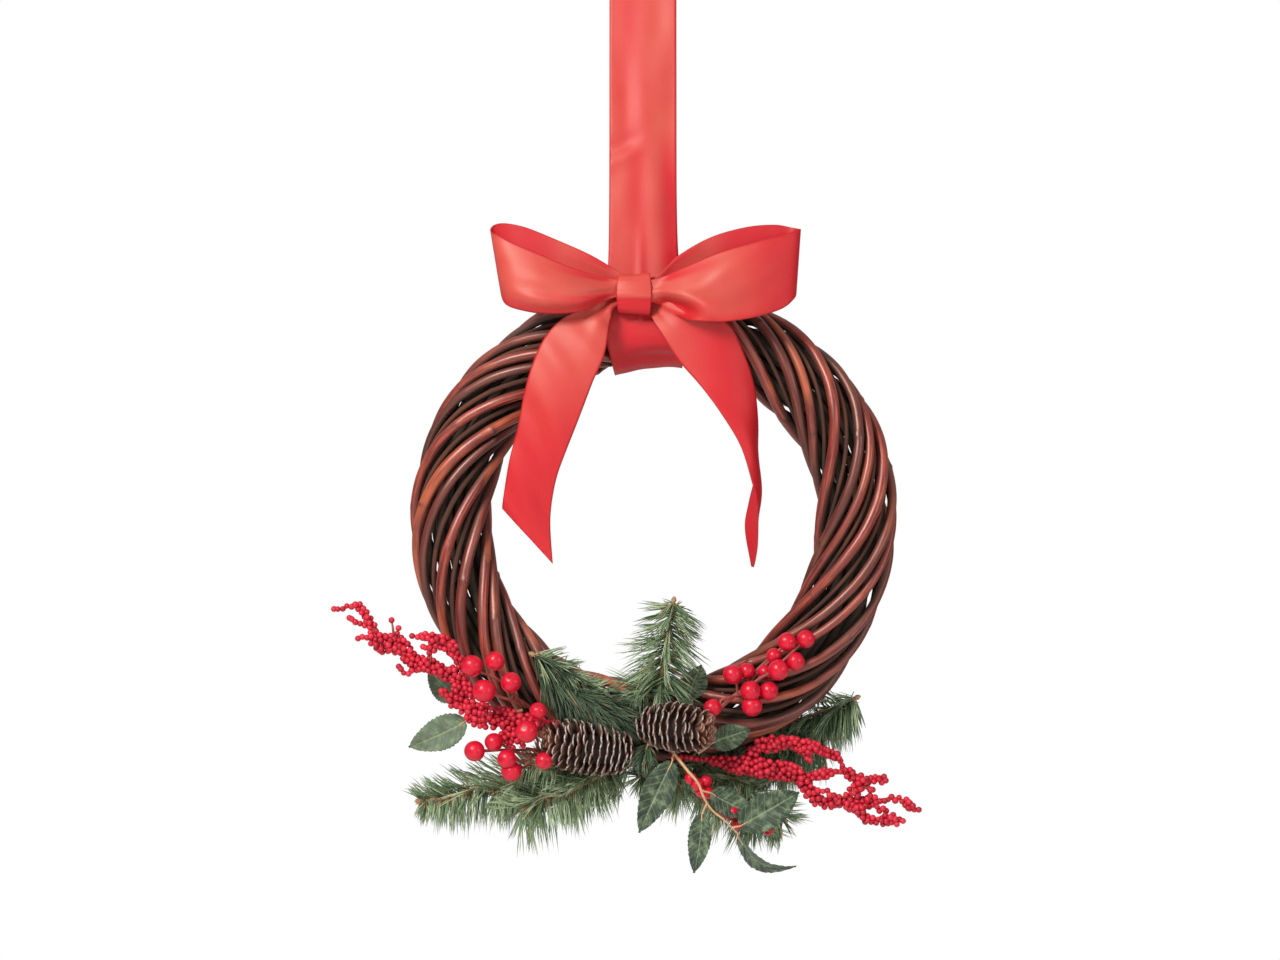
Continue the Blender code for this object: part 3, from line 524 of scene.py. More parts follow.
def satin_material():
    """Red satin: fine threads along the ribbon, a soft broad gloss, a selvedge, a painted salmon
    sheen, and painted shade: a darker red in folds, where the cloth turns from the light, and close to
    the ring."""
    paint = Paint("red_satin")
    cloth = paint.value("cloth", vector=True)
    threads = paint.noise(paint.stretched(cloth, (1, 0.02, 1)), 6000, 2)
    picks = paint.noise(paint.stretched(cloth, (0.05, 1, 1)), 5200, 2)
    soft = paint.noise(cloth, 28, 2)
    # painted sheen: the pale salmon red stands in for the satin's gloss
    base = paint.mix(paint.grey(soft, 0, 1, 0.3, 0.7),
                     (0.520, 0.047, 0.036), (0.560, 0.074, 0.054))
    # painted shade: a darker, plain red over the painted sheen
    base = paint.mix(paint.value("deep"), base, (0.545, 0.001, 0.012))
    base = paint.mix(paint.value("hem"), base, (0.460, 0.005, 0.010))
    paint.colour(base)
    paint.rough(paint.grey(threads, 0.44, 0.56))
    paint.normal(paint.bump(threads, 0.00006, 0.6, paint.bump(picks, 0.00005, 0.4)))
    paint.set(Specular_IOR_Level=0.50, Specular_Tint=(0.80, 1.0, 0.85, 1))
    return paint.material


def needle_material():
    """Fir needles: grey green to olive, pale along some of them and towards their tips."""
    paint = Paint("fir_needle")
    mottle = paint.noise(paint.place(), 420, 2)
    base = paint.ramp(paint.value("tone"), (0.0, (0.034, 0.064, 0.028)),
                      (0.35, (0.080, 0.144, 0.060)), (0.70, (0.188, 0.290, 0.138)),
                      (1.0, (0.480, 0.590, 0.340)))
    base = paint.mix(paint.math("MULTIPLY", paint.value("tip"), 0.5), base, (0.340, 0.400, 0.260))
    base = paint.mix(paint.grey(mottle, 0, 0.30, 0.4, 0.7), base, (0.055, 0.098, 0.062))
    paint.colour(base)
    paint.rough(paint.grey(mottle, 0.42, 0.62))
    paint.set(Specular_IOR_Level=0.45)
    return paint.material


def lacquer_material():
    """Large berries: deep red lacquer, slightly uneven, darker round the stalk and the eye."""
    paint = Paint("berry_lacquer")
    mottle = paint.noise(paint.place(), 240, 3)
    base = paint.ramp(mottle, (0.3, (0.530, 0.003, 0.020)), (0.7, (0.620, 0.006, 0.028)))
    base = paint.mix(paint.value("eye"), base, (0.240, 0.004, 0.010))
    paint.colour(base)
    paint.rough(paint.grey(mottle, 0.30, 0.42))
    paint.normal(paint.bump(mottle, 0.0003, 0.5))
    paint.set(Coat_Weight=0.25, Coat_Roughness=0.20, Specular_IOR_Level=0.25)
    return paint.material


def small_berry_material():
    paint = Paint("berry_matte")
    tone = paint.value("tone")
    grain = paint.noise(paint.place(), 1500, 3)
    base = paint.ramp(tone, (0.0, (0.390, 0.004, 0.018)), (0.6, (0.590, 0.008, 0.030)),
                      (1.0, (0.700, 0.022, 0.050)))
    base = paint.mix(paint.value("eye"), base, (0.170, 0.004, 0.010))
    paint.colour(paint.mix(paint.grey(grain, 0, 0.25, 0.35, 0.7), base, (0.360, 0.002, 0.012)))
    paint.rough(paint.grey(grain, 0.38, 0.58))
    paint.normal(paint.bump(grain, 0.0003, 0.6))
    paint.set(Specular_IOR_Level=0.45)
    return paint.material


def leaf_material():
    """Cloth leaves: grey green, mottled, a pale midrib and pale side veins. blade holds where
    a corner lies: across from -1 to 1, and along from 0 to 1."""
    paint = Paint("leaf_cloth")
    blade = paint.value("blade", vector=True)
    parts = paint.nodes.new("ShaderNodeSeparateXYZ")
    paint.link(blade, parts.inputs[0])
    across = paint.math("ABSOLUTE", parts.outputs[0])
    along = parts.outputs[1]
    midrib = paint.grey(across, 1, 0, 0.02, 0.09)
    order = paint.math("SUBTRACT", along, paint.math("MULTIPLY", across, VEIN_SLANT))
    order = paint.math("MULTIPLY", order, SIDE_VEINS)
    vein = paint.math("ABSOLUTE", paint.math("SUBTRACT", paint.math("FRACT", order), 0.5))
    vein = paint.grey(vein, 1, 0, 0.03, 0.15)
    weave = paint.noise(paint.place(), 2600, 2)
    mottle = paint.noise(paint.place(), 190, 4, 0.65)
    base = paint.ramp(mottle, (0.34, (0.010, 0.022, 0.009)), (0.50, (0.032, 0.055, 0.025)),
                      (0.66, (0.140, 0.190, 0.100)))
    base = paint.mix(paint.math("MULTIPLY", paint.value("pale"), 0.32), base, (0.230, 0.300, 0.180))
    base = paint.mix(paint.math("MULTIPLY", vein, 0.28), base, (0.240, 0.320, 0.200))
    base = paint.mix(paint.math("MULTIPLY", midrib, 0.50), base, (0.300, 0.370, 0.210))
    base = paint.mix(paint.value("under"), base, (0.130, 0.190, 0.125))
    paint.colour(base)
    paint.rough(paint.grey(weave, 0.45, 0.65))
    ridges = paint.math("MAXIMUM", vein, midrib)
    paint.normal(paint.bump(ridges, 0.0005, 0.6, paint.bump(weave, 0.00012, 0.7)))
    paint.set(Specular_IOR_Level=0.4, Sheen_Weight=0.15)
    return paint.material


def cone_material():
    """Cone scales: nearly black inside, red brown above, chestnut at the cone's tip, and thin
    broken frosted rims."""
    paint = Paint("cone_scales")
    rim = paint.value("rim")
    grain = paint.noise(paint.place(), 700, 4, 0.65)
    patches = paint.noise(paint.place(), 210, 2)
    base = paint.ramp(paint.value("reach"), (0.0, (0.042, 0.023, 0.017)),
                      (0.7, (0.138, 0.068, 0.046)), (1.0, (0.200, 0.098, 0.065)))
    base = paint.mix(paint.value("end"), base, (0.300, 0.098, 0.042))
    base = paint.mix(paint.grey(grain, 0, 0.4, 0.35, 0.7), base, (0.052, 0.026, 0.018))
    frost = paint.math("MULTIPLY", paint.grey(rim, 0, 1, 0.30, 0.85),
                       paint.grey(grain, 0.10, 1, 0.38, 0.60))
    frost = paint.math("MULTIPLY", frost, paint.grey(patches, 0.40, 1, 0.35, 0.55))
    paint.colour(paint.mix(frost, base, (0.640, 0.550, 0.510)))
    paint.rough(paint.grey(grain, 0.5, 0.8))
    paint.normal(paint.bump(grain, 0.0004, 0.6))
    return paint.material


def floor_material():
    paint = Paint("pale_floor")
    speckle = paint.noise(paint.place(), 60, 3)
    paint.colour(paint.mix(speckle, (0.90, 0.90, 0.90), (0.93, 0.93, 0.93)))
    paint.rough(paint.grey(speckle, 0.8, 0.9))
    return paint.material


# Willow rods

def rod_line(theta, layer, phase, turns):
    """A rod's middle at angles round the ring, with the sway of the part's own rods."""
    sway = (math.radians(9) * np.sin(2 * theta + 0.6) + math.radians(5) * np.sin(3 * theta + 2.1))
    phi = phase - turns * theta + sway
    bulge = 0.0012 * np.sin(2 * theta + 0.9) + 0.0008 * np.sin(5 * theta)
    outwards = RING_RADIUS + bulge + layer * np.cos(phi)
    return np.stack([outwards * np.cos(theta), -layer * np.sin(phi), outwards * np.sin(theta)], axis=1)


def add_rod(shape, seed, seat, phase, turns, butt, tip, start, steps, sides, inner, dark):
    """One rod with cut ends and knots. scar marks its knots, inner the painted shade it takes where it
    lies far in the bundle, and dark how much stain it took."""
    draw = random.Random(seed)
    share = np.linspace(0, 1, steps + 1)
    theta = start + ROD_END_GAP / 2 + (2 * math.pi - ROD_END_GAP) * share
    radius = butt + (tip - butt) * share
    along = share * 2 * math.pi * RING_RADIUS * (1.1 if turns else 1.0)
    radius = radius * (1 + 0.045 * ripple(seed, along * 45))
    wobble = 0.0003 * ripple(seed + 1, along * 60)
    path = rod_line(theta, seat + radius + wobble, phase, turns)
    along = lengths_along(path)
    knots = []
    spot = draw.uniform(0.01, 0.06)
    while spot < along[-1]:
        knots.append((spot, draw.uniform(0, 2 * math.pi), draw.uniform(0.7, 1.3)))
        spot += draw.uniform(0.045, 0.12)

    def bulge(turn, place):
        reach = 1 + 0.03 * ripple(seed + 2, turn, place * 110)
        for where, side, size in knots:
            ring = np.exp(-((place - where) / 0.0022) ** 2)
            lump = np.exp(-((place - where) / 0.0016) ** 2) * np.clip(np.cos(turn - side), 0, 1) ** 3
            reach = reach + size * (0.05 * ring + 0.22 * lump)
        return reach

    turn = np.arange(sides) * 2 * math.pi / sides
    scar = np.zeros((steps + 1, sides))
    for where, side, size in knots:
        ring = np.exp(-((along[:, None] - where) / 0.0009) ** 2) * 0.35
        mark = (np.exp(-((along[:, None] - where) / 0.0013) ** 2)
                * np.clip(np.cos(turn[None, :] - side), 0, 1) ** 6 * 0.8)
        scar = np.maximum(scar, ring + mark)
    before = shape.count
    tone = draw.random()
    add_tube(shape, path, radius, sides, bulge=bulge, cap_paint=1, tone=tone, scar=0.0, inner=inner,
             dark=dark)
    shape.values["scar"].append((before, scar.ravel()))
    made = np.vstack(shape.corners)[before:]
    # painted shade, darkening the sides of a rod that face into the bundle
    depth = np.hypot(np.hypot(made[:, 0], made[:, 2]) - RING_RADIUS, made[:, 1])
    shaded = 1 - smooth_step(PAINTED_SHADE_FULL, PAINTED_SHADE_NONE, depth)
    shape.values["inner"].append((before, np.maximum(shaded, inner)))


def willow_ring():
    cut_wood = plain_material("cut_wood")
    varnished = [bark_material("willow_bark", 1.0, 0.42), cut_wood]
    # a shaded copy of the bark for the inner rods: no coat and little gloss, so they stay dark
    dull = [bark_material("willow_bark_inside", 0.2, 0.0), cut_wood]
    for layer in ROD_LAYERS:
        kind, in_part, phases, seat, butt, tip, turns, starts, seed, steps, sides, inner = layer
        for index, degrees in enumerate(phases):
            phase = math.radians(degrees)
            start = math.radians(starts[index % len(starts)])
            if turns:
                start += (phase - AT_THE_BACK) / turns
            outer = kind == "outer"
            shape = Shape()
            add_rod(shape, seed + index, seat, phase, turns, butt, tip, start, steps, sides, inner,
                    OUTER_STAIN[index] if outer else 0.0)
            name = f"{kind}_{index + 1:02d}" if outer else f"{kind}_{index + 1}"
            shape.piece("willow_" + name, varnished if outer else dull,
                        ["rod_" + name] if in_part else ())


# Ribbon

def ribbon_piece(name, rows, material, node, closed, flat, deep):
    """A cloth strip from a grid of corners, rows along it and columns across it. The last argument
    says how much painted shade darkens the red, for every corner or for all."""
    rows = np.asarray(rows, float)
    count, across = rows.shape[:2]
    shape = Shape()
    middle = rows[:, across // 2]
    place = lengths_along(middle)
    share = np.linspace(-1, 1, across)
    cloth = np.zeros((count, across, 3))
    cloth[:, :, 0] = share[None, :] * flat[0] / 2
    cloth[:, :, 1] = place[:, None]
    hem = np.broadcast_to(smooth_step(0.93, 0.98, np.abs(share)), (count, across))
    shape.add(rows.reshape(-1, 3), grid_faces(count, across, closed_rows=closed),
              cloth=cloth.reshape(-1, 3), hem=hem.ravel(),
              deep=np.broadcast_to(deep, (count, across)).ravel())
    thing = shape.piece(name, [material], [node])
    thickness = thing.modifiers.new("thickness", "SOLIDIFY")
    thickness.thickness = RIBBON_THICKNESS
    thickness.offset = 0.0
    return thing


def strap_rows():
    """The hanging ribbon: down in front of the ring, under it and up behind it to the hook."""
    share = np.linspace(-1, 1, RIBBON_COLUMNS)
    top = RING_DROP - LOOP_RADIUS
    rows = []

    def across(width):
        return share * width / 2 - RING_ASIDE

    def ply(side, value):
        x = across(RIBBON_WIDTH + (WRAP_WIDTH - RIBBON_WIDTH) * value ** WIDENING)
        x = x + WRAP_SPREAD * np.maximum(share, 0) * value ** WIDENING
        bottom = np.sqrt(RING_RADIUS ** 2 - x ** 2)
        y = side * (LOOP_RADIUS + (WRAP_RADIUS - LOOP_RADIUS) * value) + 0 * x
        z = top + (bottom - top) * value
        loose = math.sin(math.pi * min(value * 1.15, 1.0)) * 0.9
        y = y + side * 0.0014 * loose * ripple(301 + side, share * 1.6, z * 16 + share * 1.3)
        y = y + side * 0.0007 * loose * ripple(305 + side, share * 4.6 - z * 22)
        if side < 0:
            pinch = smooth_step(0.70, 0.92, value)
            y = y - 0.0016 * pinch * np.exp(-((share + 0.07) / 0.09) ** 2)
            y = y + 0.0012 * pinch * np.exp(-((share + 0.07) / 0.35) ** 2)
            y = y - 0.0007 * np.exp(-((share * 0.5 + (value - 0.45) * 1.6) / 0.22) ** 2)
            y = y + 0.0005 * loose * ripple(307, share * 3.4 + z * 30)
            tuck = (z - CREASE_FOOT - 0.0090 * (share + 1)) / 0.0065
            y = y + 0.0022 * smooth_step(0.2, -0.6, share) * tuck * np.exp(-tuck ** 2)
            y = y + 0.0042 * smooth_step(0.30, 1.0, share) * np.exp(-((value - 0.74) / 0.13) ** 2)
        return np.stack([x, y, z], axis=1)

    def under(turn):
        x = across(WRAP_WIDTH) + WRAP_SPREAD * np.maximum(share, 0)
        theta = np.arcsin(x / RING_RADIUS)
        slack = WRAP_SLACK * (1 - share) / 2 * max(-math.cos(turn), 0) ** 2
        crease = 0.0012 * math.exp(-((math.degrees(turn) - 118) / 14) ** 2)
        crease -= 0.0009 * math.exp(-((math.degrees(turn) - 142) / 10) ** 2)
        sag = crease * (1 + 0.6 * np.sin(share * 2.4 + 0.6))
        sag = sag + 0.0004 * ripple(309, share * 2.5, turn * 3)
        reach = RING_RADIUS + (WRAP_RADIUS + sag) * math.cos(turn) - slack
        y = -(WRAP_RADIUS + sag) * math.sin(turn)
        return np.stack([np.sin(theta) * reach, y, np.cos(theta) * reach], axis=1)

    for value in np.linspace(0, 1, 130):
        rows.append(ply(-1, value))
    for turn in np.linspace(math.radians(90), math.radians(270), 60)[1:-1]:
        rows.append(under(turn))
    for value in np.linspace(1, 0, 90):
        rows.append(ply(1, value))
    for turn in np.linspace(0, math.pi, 26)[1:-1]:
        x = across(RIBBON_WIDTH)
        y = LOOP_RADIUS * math.cos(turn) + 0 * x
        z = top + LOOP_RADIUS * math.sin(turn) + 0 * x
        rows.append(np.stack([x, y, z], axis=1))
    return np.array(rows)


def band_rows():
    """The narrow strip round the middle of the bow, with a soft level ridge on its front. Also the
    painted shade at each corner, full below the ridge where the strip rolls under."""
    half_width, half_height, half_depth = 0.0106, 0.0120, 0.0060
    middle_depth = -(WRAP_RADIUS + 0.0006 + 0.0058)
    power = 0.92
    ridge = KNOT_HEIGHT - 0.0024
    share = np.linspace(-1, 1, RIBBON_COLUMNS)
    rows = []
    for turn in np.linspace(0, 2 * math.pi, 97)[:-1]:
        ahead, rise = math.cos(turn), math.sin(turn)
        y = middle_depth - half_depth * np.sign(ahead) * abs(ahead) ** power
        z = KNOT_HEIGHT - 0.0014 + half_height * np.sign(rise) * abs(rise) ** power
        front = max(ahead, 0)
        waist = 1 - 0.10 * rise ** 2
        x = KNOT_ASIDE - 0.0014 + share * half_width * waist
        bulge = 0.0009 * (1 - share ** 2)
        bulge = bulge + 0.0003 * front * ripple(313, share * 0.8, turn * 7)
        bulge = bulge + 0.0012 * front * math.exp(-((z - ridge) / 0.0036) ** 2)
        lift = 0.0006 * ripple(311, share * 2 + turn)
        rows.append(np.stack([x, y - np.sign(ahead) * bulge * abs(ahead) ** 0.3,
                              z + lift + 0.0008 * share * rise], axis=1))
    rows = np.array(rows)
    # painted shade, full below the ridge and a little all over
    return rows, np.maximum(smooth_step(ridge, ridge - 0.0030, rows[:, :, 2]), 0.15)


# Edges of the two strips of the bow: the loops' upper and lower one, the tails' left and right one
LOOP_UPPER = tenths([
    (-1003, -375, 1774), (-965, -448, 1742), (-870, -492, 1692), (-700, -512, 1620),
    (-474, -475, 1532), (-252, -384, 1480), (-108, -384, 1468), (30, -384, 1484), (185, -455, 1545),
    (406, -520, 1634), (627, -505, 1698), (800, -470, 1744), (885, -430, 1772), (895, -375, 1781),
    (850, -323, 1793), (740, -318, 1811), (560, -323, 1795), (350, -325, 1735), (160, -325, 1630),
    (30, -306, 1515), (-108, -305, 1472), (-245, -306, 1545), (-400, -325, 1632),
    (-600, -325, 1720), (-780, -320, 1792), (-905, -316, 1819), (-978, -330, 1811)
])
LOOP_LOWER = tenths([
    (-938, -375, 1390), (-905, -448, 1322), (-810, -492, 1285), (-655, -512, 1263),
    (-450, -480, 1280), (-245, -384, 1366), (-108, -384, 1352), (30, -384, 1325), (190, -465, 1236),
    (390, -525, 1213), (600, -510, 1238), (775, -472, 1292), (855, -430, 1355), (870, -375, 1400),
    (830, -325, 1395), (730, -320, 1380), (560, -325, 1375), (350, -325, 1375), (160, -325, 1375),
    (30, -306, 1370), (-108, -305, 1350), (-245, -306, 1375), (-410, -325, 1385),
    (-600, -325, 1385), (-770, -320, 1375), (-870, -320, 1378), (-925, -340, 1400)
])
TAIL_LEFT = tenths([
    (-922, -300, 92), (-910, -315, 190), (-873, -350, 400), (-824, -380, 584), (-787, -400, 781),
    (-732, -408, 972), (-664, -400, 1119), (-560, -385, 1236), (-400, -370, 1316),
    (-240, -335, 1400), (-108, -291, 1420), (10, -291, 1390), (120, -335, 1345), (300, -390, 1300),
    (455, -370, 1200), (540, -330, 1040), (600, -290, 870), (626, -270, 690), (632, -235, 510),
    (618, -150, 300), (578, -130, 120), (555, -180, -30), (592, -235, -262)
])
TAIL_RIGHT = tenths([
    (-615, -280, -246), (-630, -305, 20), (-597, -355, 250), (-535, -395, 430), (-452, -425, 640),
    (-372, -435, 850), (-303, -425, 1010), (-276, -395, 1160), (-264, -370, 1240),
    (-235, -330, 1310), (-108, -291, 1340), (-30, -291, 1310), (-12, -325, 1245), (42, -355, 1150),
    (148, -365, 985), (290, -380, 820), (410, -390, 655), (520, -400, 470), (586, -420, 265),
    (622, -400, 110), (628, -370, -30), (624, -330, -150), (606, -270, -266)
])


def loop_rows():
    """Both loops of the bow, pleated where they are pinched, round between, with a level fold in
    the left one and a hollow in the right one. Also the painted shade at each corner."""
    upper = smooth_path(LOOP_UPPER, LOOP_STEPS, closed=True)[:-1]
    lower = smooth_path(LOOP_LOWER, LOOP_STEPS, closed=True)[:-1]
    across = np.linspace(0, 1, LOOP_COLUMNS)[None, :]
    rows = upper[:, None] + (lower - upper)[:, None] * across[:, :, None]
    rows[:, :, 0] = KNOT_ASIDE + (rows[:, :, 0] - KNOT_ASIDE) * 0.985
    x = rows[:, :, 0]
    off = np.abs(x - KNOT_ASIDE)
    front = np.clip((-rows[:, :, 1] - 0.0335) / 0.004, 0, 1)
    pleats = smooth_step(0.010, 0.020, off) * np.exp(-(np.maximum(off - 0.018, 0) / 0.026) ** 2)
    side = np.sign(x - KNOT_ASIDE)
    fan = np.cos(2 * math.pi * 1.25 * (across - 0.46 + 0.05 * side))
    crown = np.sin(math.pi * across) * smooth_step(0.012, 0.045, off)
    ends = smooth_step(0.098, 0.070, off)
    rows[:, :, 1] -= front * (0.0016 * pleats * fan + 0.0042 * crown * ends)
    rows[:, :, 1] += (1 - front) * 0.0010 * pleats * fan
    rows[:, :, 1] -= front * 0.0006 * pleats * ripple(323, across * 9, off * 60)
    waves = ripple(321, x * 45, across * 4)
    rows[:, :, 1] -= front * 0.0011 * ends * smooth_step(0.02, 0.05, off) * waves
    fold = np.exp(-((across - 0.80) / 0.14) ** 2)
    fold = fold * smooth_step(-0.100, -0.070, x) * smooth_step(-0.020, -0.045, x)
    rows[:, :, 1] -= front * 0.0042 * fold
    curl_x, curl_z = x - 0.0128, rows[:, :, 2] - 0.1300
    tilt = math.radians(-18)
    long_way = (curl_x * math.cos(tilt) + curl_z * math.sin(tilt)) / 0.0158
    short_way = (curl_z * math.cos(tilt) - curl_x * math.sin(tilt)) / 0.0064
    ring = np.sqrt(long_way ** 2 + short_way ** 2)
    hollow = front * smooth_step(1.0, 0.45, ring)
    rows[:, :, 1] += 0.0062 * hollow - front * 0.0016 * np.exp(-((ring - 1.25) / 0.28) ** 2)
    # painted shade: in the hollow, on the inner side, at the right end turned from the light, along the
    # bottom edge and in the pinched folds
    inside = smooth_step(-0.0375, -0.0345, rows[:, :, 1])
    inside = inside * np.maximum(smooth_step(0.035, 0.060, off), 0.3)
    right_end = smooth_step(0.030, 0.088, x)
    bottom = 0.7 * smooth_step(0.80, 0.97, across) * front
    edges = np.maximum(smooth_step(0.58, 0.74, across), smooth_step(0.24, 0.12, across))
    pinched = 0.9 * pleats * edges
    return rows, np.clip(np.maximum.reduce([hollow, inside, right_end, bottom, pinched]), 0, 1)


def tail_rows():
    """Both tails, one strip bent over behind the middle of the bow."""
    left = smooth_path(TAIL_LEFT, TAIL_STEPS)
    right = smooth_path(TAIL_RIGHT, TAIL_STEPS)
    across = np.linspace(0, 1, RIBBON_COLUMNS)[None, :]
    rows = left[:, None] + (right - left)[:, None] * across[:, :, None]
    place = np.linspace(0, 1, TAIL_STEPS)[:, None]
    from_knot = np.abs(place - TAILS_MIDDLE) * 2
    soft = smooth_step(0.06, 0.25, from_knot)
    pleats = np.exp(-(np.maximum(from_knot - 0.12, 0) / 0.20) ** 2)
    pleats = pleats * smooth_step(0.05, 0.12, from_knot)
    ridge = np.where(place < TAILS_MIDDLE, 0.86, 0.16)
    rows[:, :, 1] -= 0.0018 * pleats * np.cos(2 * math.pi * 1.1 * (across - ridge))
    rows[:, :, 1] -= 0.0006 * pleats * ripple(339, across * 8, place * 12)
    rows[:, :, 1] -= 0.0020 * soft * np.sin(math.pi * across) * smooth_step(1.0, 0.7, from_knot)
    rows[:, :, 1] -= 0.0009 * soft * ripple(331, from_knot * 9, across * 2.5)
    rows[:, :, 0] += 0.0032 * np.sin(math.pi * across) * np.exp(-((place - 0.865) / 0.040) ** 2)
    left_side = smooth_step(0.02, 0.10, TAILS_MIDDLE - place)
    rows[:, :, 1] -= 0.0016 * left_side * ripple(335, place * 46 + across * 3.2, across * 1.2)
    rows[:, :, 1] -= 0.0010 * (1 - left_side) * soft * ripple(337, place * 30 + across * 5)
    return rows


def ribbons():
    satin = satin_material()
    strap = strap_rows()
    share = np.linspace(-1, 1, strap.shape[1])[None, :]
    height = strap[:, :, 2]
    # painted sheen and shade in soft streaks down the strap, painted shade at its right edge beside the
    # bow, where it turns from the light, and low down round the ring
    streaks = 0.38 + 0.35 * ripple(341, share * 3.8 + height * 9, height * 4)
    by_bow = smooth_step(0.30, 0.75, share) * smooth_step(0.260, 0.200, height)
    near_ring = smooth_step(0.170, 0.120, height)
    deep = np.clip(np.maximum.reduce([streaks, by_bow, near_ring]), 0, 1)
    ribbon_piece("strap", strap, satin, "hanging_ribbon", True, (0.0435, 0.560), deep)
    band, deep = band_rows()
    ribbon_piece("knot_band", band, satin, "bow_band", True, (0.0224, 0.072), deep)
    loops, deep = loop_rows()
    ribbon_piece("bow", loops, satin, "bow_loops", True, (0.046, 0.395), deep)
    tails = tail_rows()
    # painted shade on the tails' lower part and on the right tail, which turns from the light
    ribbon_piece("tails", tails, satin, "bow_tails", False, (0.042, 0.330),
                 0.12 + 0.82 * np.maximum(smooth_step(0.120, 0.030, tails[:, :, 2]),
                                          smooth_step(-0.005, 0.040, tails[:, :, 0])))


# Cones

def add_scale(shape, root, outwards, axis, width, length, lift, curl, end):
    """One cone scale: a thin shovel, widest near its rounded end, which has a frosted rim."""
    u = np.linspace(-1, 1, 9)
    v = np.array((0, 0.3, 0.55, 0.72, 0.84, 0.93, 1.0))
    aside = np.cross(axis, outwards)
    ahead = outwards * math.cos(lift) + axis * math.sin(lift)
    above = np.cross(ahead, aside)
    above = above if above.dot(axis) > 0 else -above
    share, across = v[:, None, None], u[None, :, None]
    half = width / 2 * (0.42 + 0.58 * np.minimum(share / 0.6, 1))
    rounded = np.sqrt(np.maximum(1 - (np.maximum(share - 0.66, 0) / 0.34) ** 2 * 0.45, 0.02))
    corners = (root + ahead * length * (share - 0.04 * across ** 2 * share ** 3)
               + aside * half * rounded * across
               + above * (0.05 * width * (1 - across ** 2) * share - curl * length * share ** 2))
    side_rim = smooth_step(0.82, 1.0, np.abs(across)) * smooth_step(0.70, 0.92, share)
    end_rim = smooth_step(0.93, 1.0, share) * (1 - 0.6 * across ** 2)
    rim = np.maximum(end_rim, side_rim * 0.35).ravel()
    reach = np.broadcast_to(share, corners.shape)[:, :, 0].ravel()
    corners = corners.reshape(-1, 3)
    thickness = 0.0008 * (0.45 + 0.55 * reach)[:, None]
    faces = [face[::-1] for face in plate_faces(len(v), len(u))]
    shape.add(np.vstack([corners + above * thickness / 2, corners - above * thickness / 2]), faces,
              rim=np.tile(rim, 2), reach=np.tile(reach, 2), end=end)


def cone_piece(name, node, middle, axis, length, radius, material, seed):
    """A cone: scales along one close spiral in level rows, and a rosette that closes its tip.
    middle is its place from the side and in height, and its node says how far back it lies."""
    draw = random.Random(seed)
    axis = unit(vec(axis))
    across = unit(np.cross(axis, (0.1, 0.2, 1.0)))
    beside = np.cross(axis, across)
    low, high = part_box(node)
    centre = (vec(low) + vec(high)) / 2 - RING_CENTRE
    middle = vec((middle[0], centre[1], middle[1]))
    shape = Shape()
    spine = [middle + axis * length * (share - 0.5) for share in np.linspace(0.03, 0.90, 12)]
    core = [radius * 0.55 * math.sin(math.pi * (0.12 + 0.80 * share)) ** 0.6
            for share in np.linspace(0, 1, 12)]
    add_tube(shape, spine, core, 14, rim=0.0, reach=0.0, end=0.0)
    scales = int(CONE_AROUND * round(length / CONE_ROW))
    for index in range(scales):
        share = (index + 0.5) / scales
        turn = index * 2 * math.pi / CONE_AROUND + draw.uniform(-0.08, 0.08)
        outline = radius * math.sin(math.pi * (0.13 + 0.74 * share)) ** 0.60
        outwards = across * math.cos(turn) + beside * math.sin(turn)
        lift = math.radians(8 + 44 * share ** 2 + draw.uniform(-9, 9))
        reach = outline * draw.uniform(0.92, 1.04)
        start = 0.40 * outline
        stretch = (reach - start) / math.cos(lift)
        height = length * (0.94 * share - 0.50) - stretch * 0.30 * math.sin(lift)
        root = middle + axis * height + outwards * start
        width = 2 * math.pi * outline / CONE_AROUND * draw.uniform(1.05, 1.35)
        add_scale(shape, root, outwards, axis, width, stretch, lift, draw.uniform(0.00, 0.12),
                  0.8 * smooth_step(0.86, 1.0, share))
    for index in range(ROSETTE_SCALES):
        share = (index + 0.5) / ROSETTE_SCALES
        turn = index * GOLDEN_TURN
        outwards = across * math.cos(turn) + beside * math.sin(turn)
        lift = math.radians(60 + 26 * share)
        root = middle + axis * length * (0.40 + 0.05 * share)
        root = root + outwards * radius * 0.52 * (1 - share) ** 0.7
        add_scale(shape, root, outwards, axis, 0.0058 - 0.0026 * share, 0.0056 - 0.0020 * share,
                  lift, 0.1, 0.85)
    return shape.piece(name, [material], [node])


def cones():
    material = cone_material()
    cone_piece("fir_cone_left", "cone_left", (-0.0400, -0.1355), (-0.95, -0.22, 0.15),
               0.0550, 0.0166, material, 401)
    cone_piece("fir_cone_right", "cone_right", (0.0124, -0.1225), (0.92, -0.34, -0.08),
               0.0440, 0.0154, material, 402)


# Berries

BIG_BALL = ball_template(18, 24)
SMALL_BALL = ball_template(8, 11)


